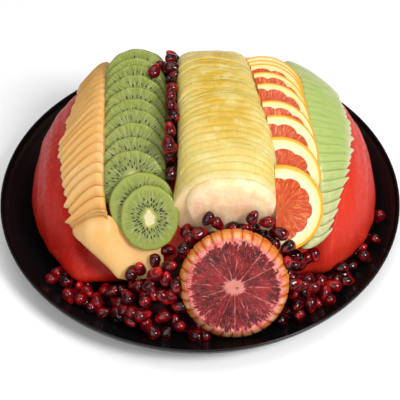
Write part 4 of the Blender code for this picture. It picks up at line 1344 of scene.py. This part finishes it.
def any_turn(flat):
    """Random rotation that lies close to a surface of a given normal."""
    lying = flat.to_track_quat("Z", "Y").to_matrix()
    spin = Matrix.Rotation(random.uniform(0, TURN), 3, "Z")
    lean = Matrix.Rotation(random.gauss(math.pi / 2, 0.3), 3, "X")
    return lying @ spin @ lean


def sight(pixel):
    """Direction from the camera through a pixel of the photograph."""
    right = Vector((1, 0, 0))
    ahead = (CAMERA_AIM - CAMERA_SPOT).normalized()
    up = right.cross(ahead)
    half = PICTURE / 2
    return (ahead * FOCAL_PIXELS + right * (pixel[0] - half) + up * (half - pixel[1])).normalized()


def set_by_pixel(arils, tree, pixels, rise, size):
    """Lay an aril on whatever lies behind each pixel."""
    for pixel in pixels:
        hit, normal, _, _ = tree.ray_cast(CAMERA_SPOT, sight(pixel))
        if not hit:
            continue
        if normal.dot(sight(pixel)) > 0:
            normal = -normal
        spot = hit + normal * rise
        spot.z = min(spot.z, cad_box[1][2] - ARIL_LENGTH * 0.5)
        arils.add(spot, any_turn(normal), size * random.uniform(0.9, 1.06))


def build_core(name, node, shrink):
    """Near-black core of painted shade inside a node of arils, drawn in from the node's surface."""
    skin = new_skin()
    skin.from_mesh(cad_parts[node].data)
    bmesh.ops.remove_doubles(skin, verts=skin.verts[:], dist=0.00001)
    bmesh.ops.recalc_face_normals(skin, faces=skin.faces)
    skin.normal_update()
    for vert in skin.verts:
        vert.co -= vert.normal * shrink
    piece(name, skin, core_shade_paint(), [], 60)


def scatter(arils, node, box, seed, rules, heading=(0, 0, -1)):
    """Rain arils on a node inside a box, from above or another heading, where there is room."""
    random.seed(seed)
    tries, room, rise, size = rules
    tree = tree_of([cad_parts[node]])
    heading = Vector(heading)
    for _ in range(tries):
        start = Vector(random.uniform(a, b) for a, b in zip(*box))
        hit, normal, _, _ = tree.ray_cast(start - heading * 0.25, heading)
        if hit and normal.dot(heading) < -0.05 and arils.free(hit + normal * rise, room):
            arils.add(hit + normal * rise, any_turn(normal), size * random.uniform(0.9, 1.05))


def build_heap(shapes, paint, fruit, tray):
    """Arils on the pineapple's face, on the dome's foot and round the front, over a dark core of painted
    shade.
    """
    node = "pomegranate_heap"
    heap = Arils(shapes)
    random.seed(50)
    ground = tree_of(fruit + [tray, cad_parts[node]])
    set_by_pixel(heap, ground, TOP_ARILS + FRONT_ARILS, *HEAP_LAID)
    scatter(heap, node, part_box("pomegranate_heap"), 51, HEAP_RAIN)
    piece("pomegranate_heap_arils", heap.skin, paint, [node], 80)
    build_core("pomegranate_heap_shade_core", node, HEAP_CORE)


def build_line(shapes, paint, fruit):
    """Arils in the groove between the kiwi and the pineapple, over a dark core of painted shade."""
    node = "pomegranate_line"
    line = Arils(shapes)
    random.seed(60)
    groove = tree_of(fruit + [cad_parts[node]])
    set_by_pixel(line, groove, KIWI_ARILS, *KIWI_LAID)
    set_by_pixel(line, groove, GROOVE_ARILS, *GROOVE_LAID)
    low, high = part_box("pomegranate_line")
    middle = (low.x + high.x) / 2
    crest = (Vector((middle - CREST_HALF, low.y + CREST_ENDS[0], low.z)),
             Vector((middle + CREST_HALF, high.y - CREST_ENDS[1], high.z)))
    scatter(line, node, crest, 61, CREST_RAIN)
    for seed, heading in ((62, (1, 0, 0)), (63, (-1, 0, 0)), (64, (0, -1, 0))):
        scatter(line, node, (low, high), seed, SIDE_RAIN, heading)
    piece("pomegranate_line_arils", line.skin, paint, [node], 80)
    build_core("pomegranate_line_shade_core", node, LINE_CORE)


def build_loose(shapes, paint):
    """Single arils where the frame has them."""
    loose = Arils(shapes)
    random.seed(70)
    names = [f"aril_{i + 1}" for i in range(8)]
    for name in names:
        low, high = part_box(name)
        loose.add((low + high) / 2, any_turn(Vector((0, -0.7, 0.7))), LOOSE_SIZE)
    piece("pomegranate_loose_arils", loose.skin, paint, names, 80)


# ---------------------------------------- stage

def add_floor():
    """Pale level floor."""
    floor = bpy.data.meshes.new("floor")
    corners = [(x * FLOOR_HALF, y * FLOOR_HALF, 0) for x, y in ((-1, -1), (1, -1), (1, 1), (-1, 1))]
    floor.from_pydata(corners, [], [(0, 1, 2, 3)])
    floor.materials.append(floor_paint())
    ground = bpy.data.objects.new("floor", floor)
    bpy.context.scene.collection.objects.link(ground)


def add_aimed(name, data, spot, aim):
    """Object of a light or a camera that looks at a point."""
    made = bpy.data.objects.new(name, data)
    made.location = spot
    made.rotation_euler = (aim - made.location).to_track_quat("-Z", "Y").to_euler()
    bpy.context.scene.collection.objects.link(made)
    return made


def build_stage():
    """Floor, light and camera."""
    add_floor()
    world = bpy.data.worlds.new("studio")
    world.use_nodes = True
    background = world.node_tree.nodes["Background"]
    background.inputs["Color"].default_value = SKY_COLOUR
    background.inputs["Strength"].default_value = SKY_STRENGTH
    bpy.context.scene.world = world
    for name, spot, size, power in LIGHTS:
        light = bpy.data.lights.new(name, "AREA")
        light.size = size
        light.energy = power
        add_aimed(name, light, spot, LIGHT_AIM)
    lens = bpy.data.cameras.new("camera")
    lens.sensor_width = SENSOR
    lens.lens = FOCAL_PIXELS * SENSOR / PICTURE
    bpy.context.scene.camera = add_aimed("camera", lens, CAMERA_SPOT, CAMERA_AIM)
    bpy.context.scene.view_settings.view_transform = "Standard"


def main():
    """Build every piece and the stage."""
    build_stage()
    tray = build_tray()
    dome = build_watermelon()
    melon = cantaloupe_paint()
    bed = tree_of([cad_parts["watermelon_dome"]])
    fruit = [dome, build_cantaloupe(melon), build_front_slice(melon), build_honeydew(), build_kiwi(),
             build_oranges(), build_pineapple(bed), build_blood_orange()]
    shapes, paint = aril_shapes(9), aril_paint()
    build_heap(shapes, paint, fruit, tray)
    build_line(shapes, paint, fruit)
    build_loose(shapes, paint)


main()
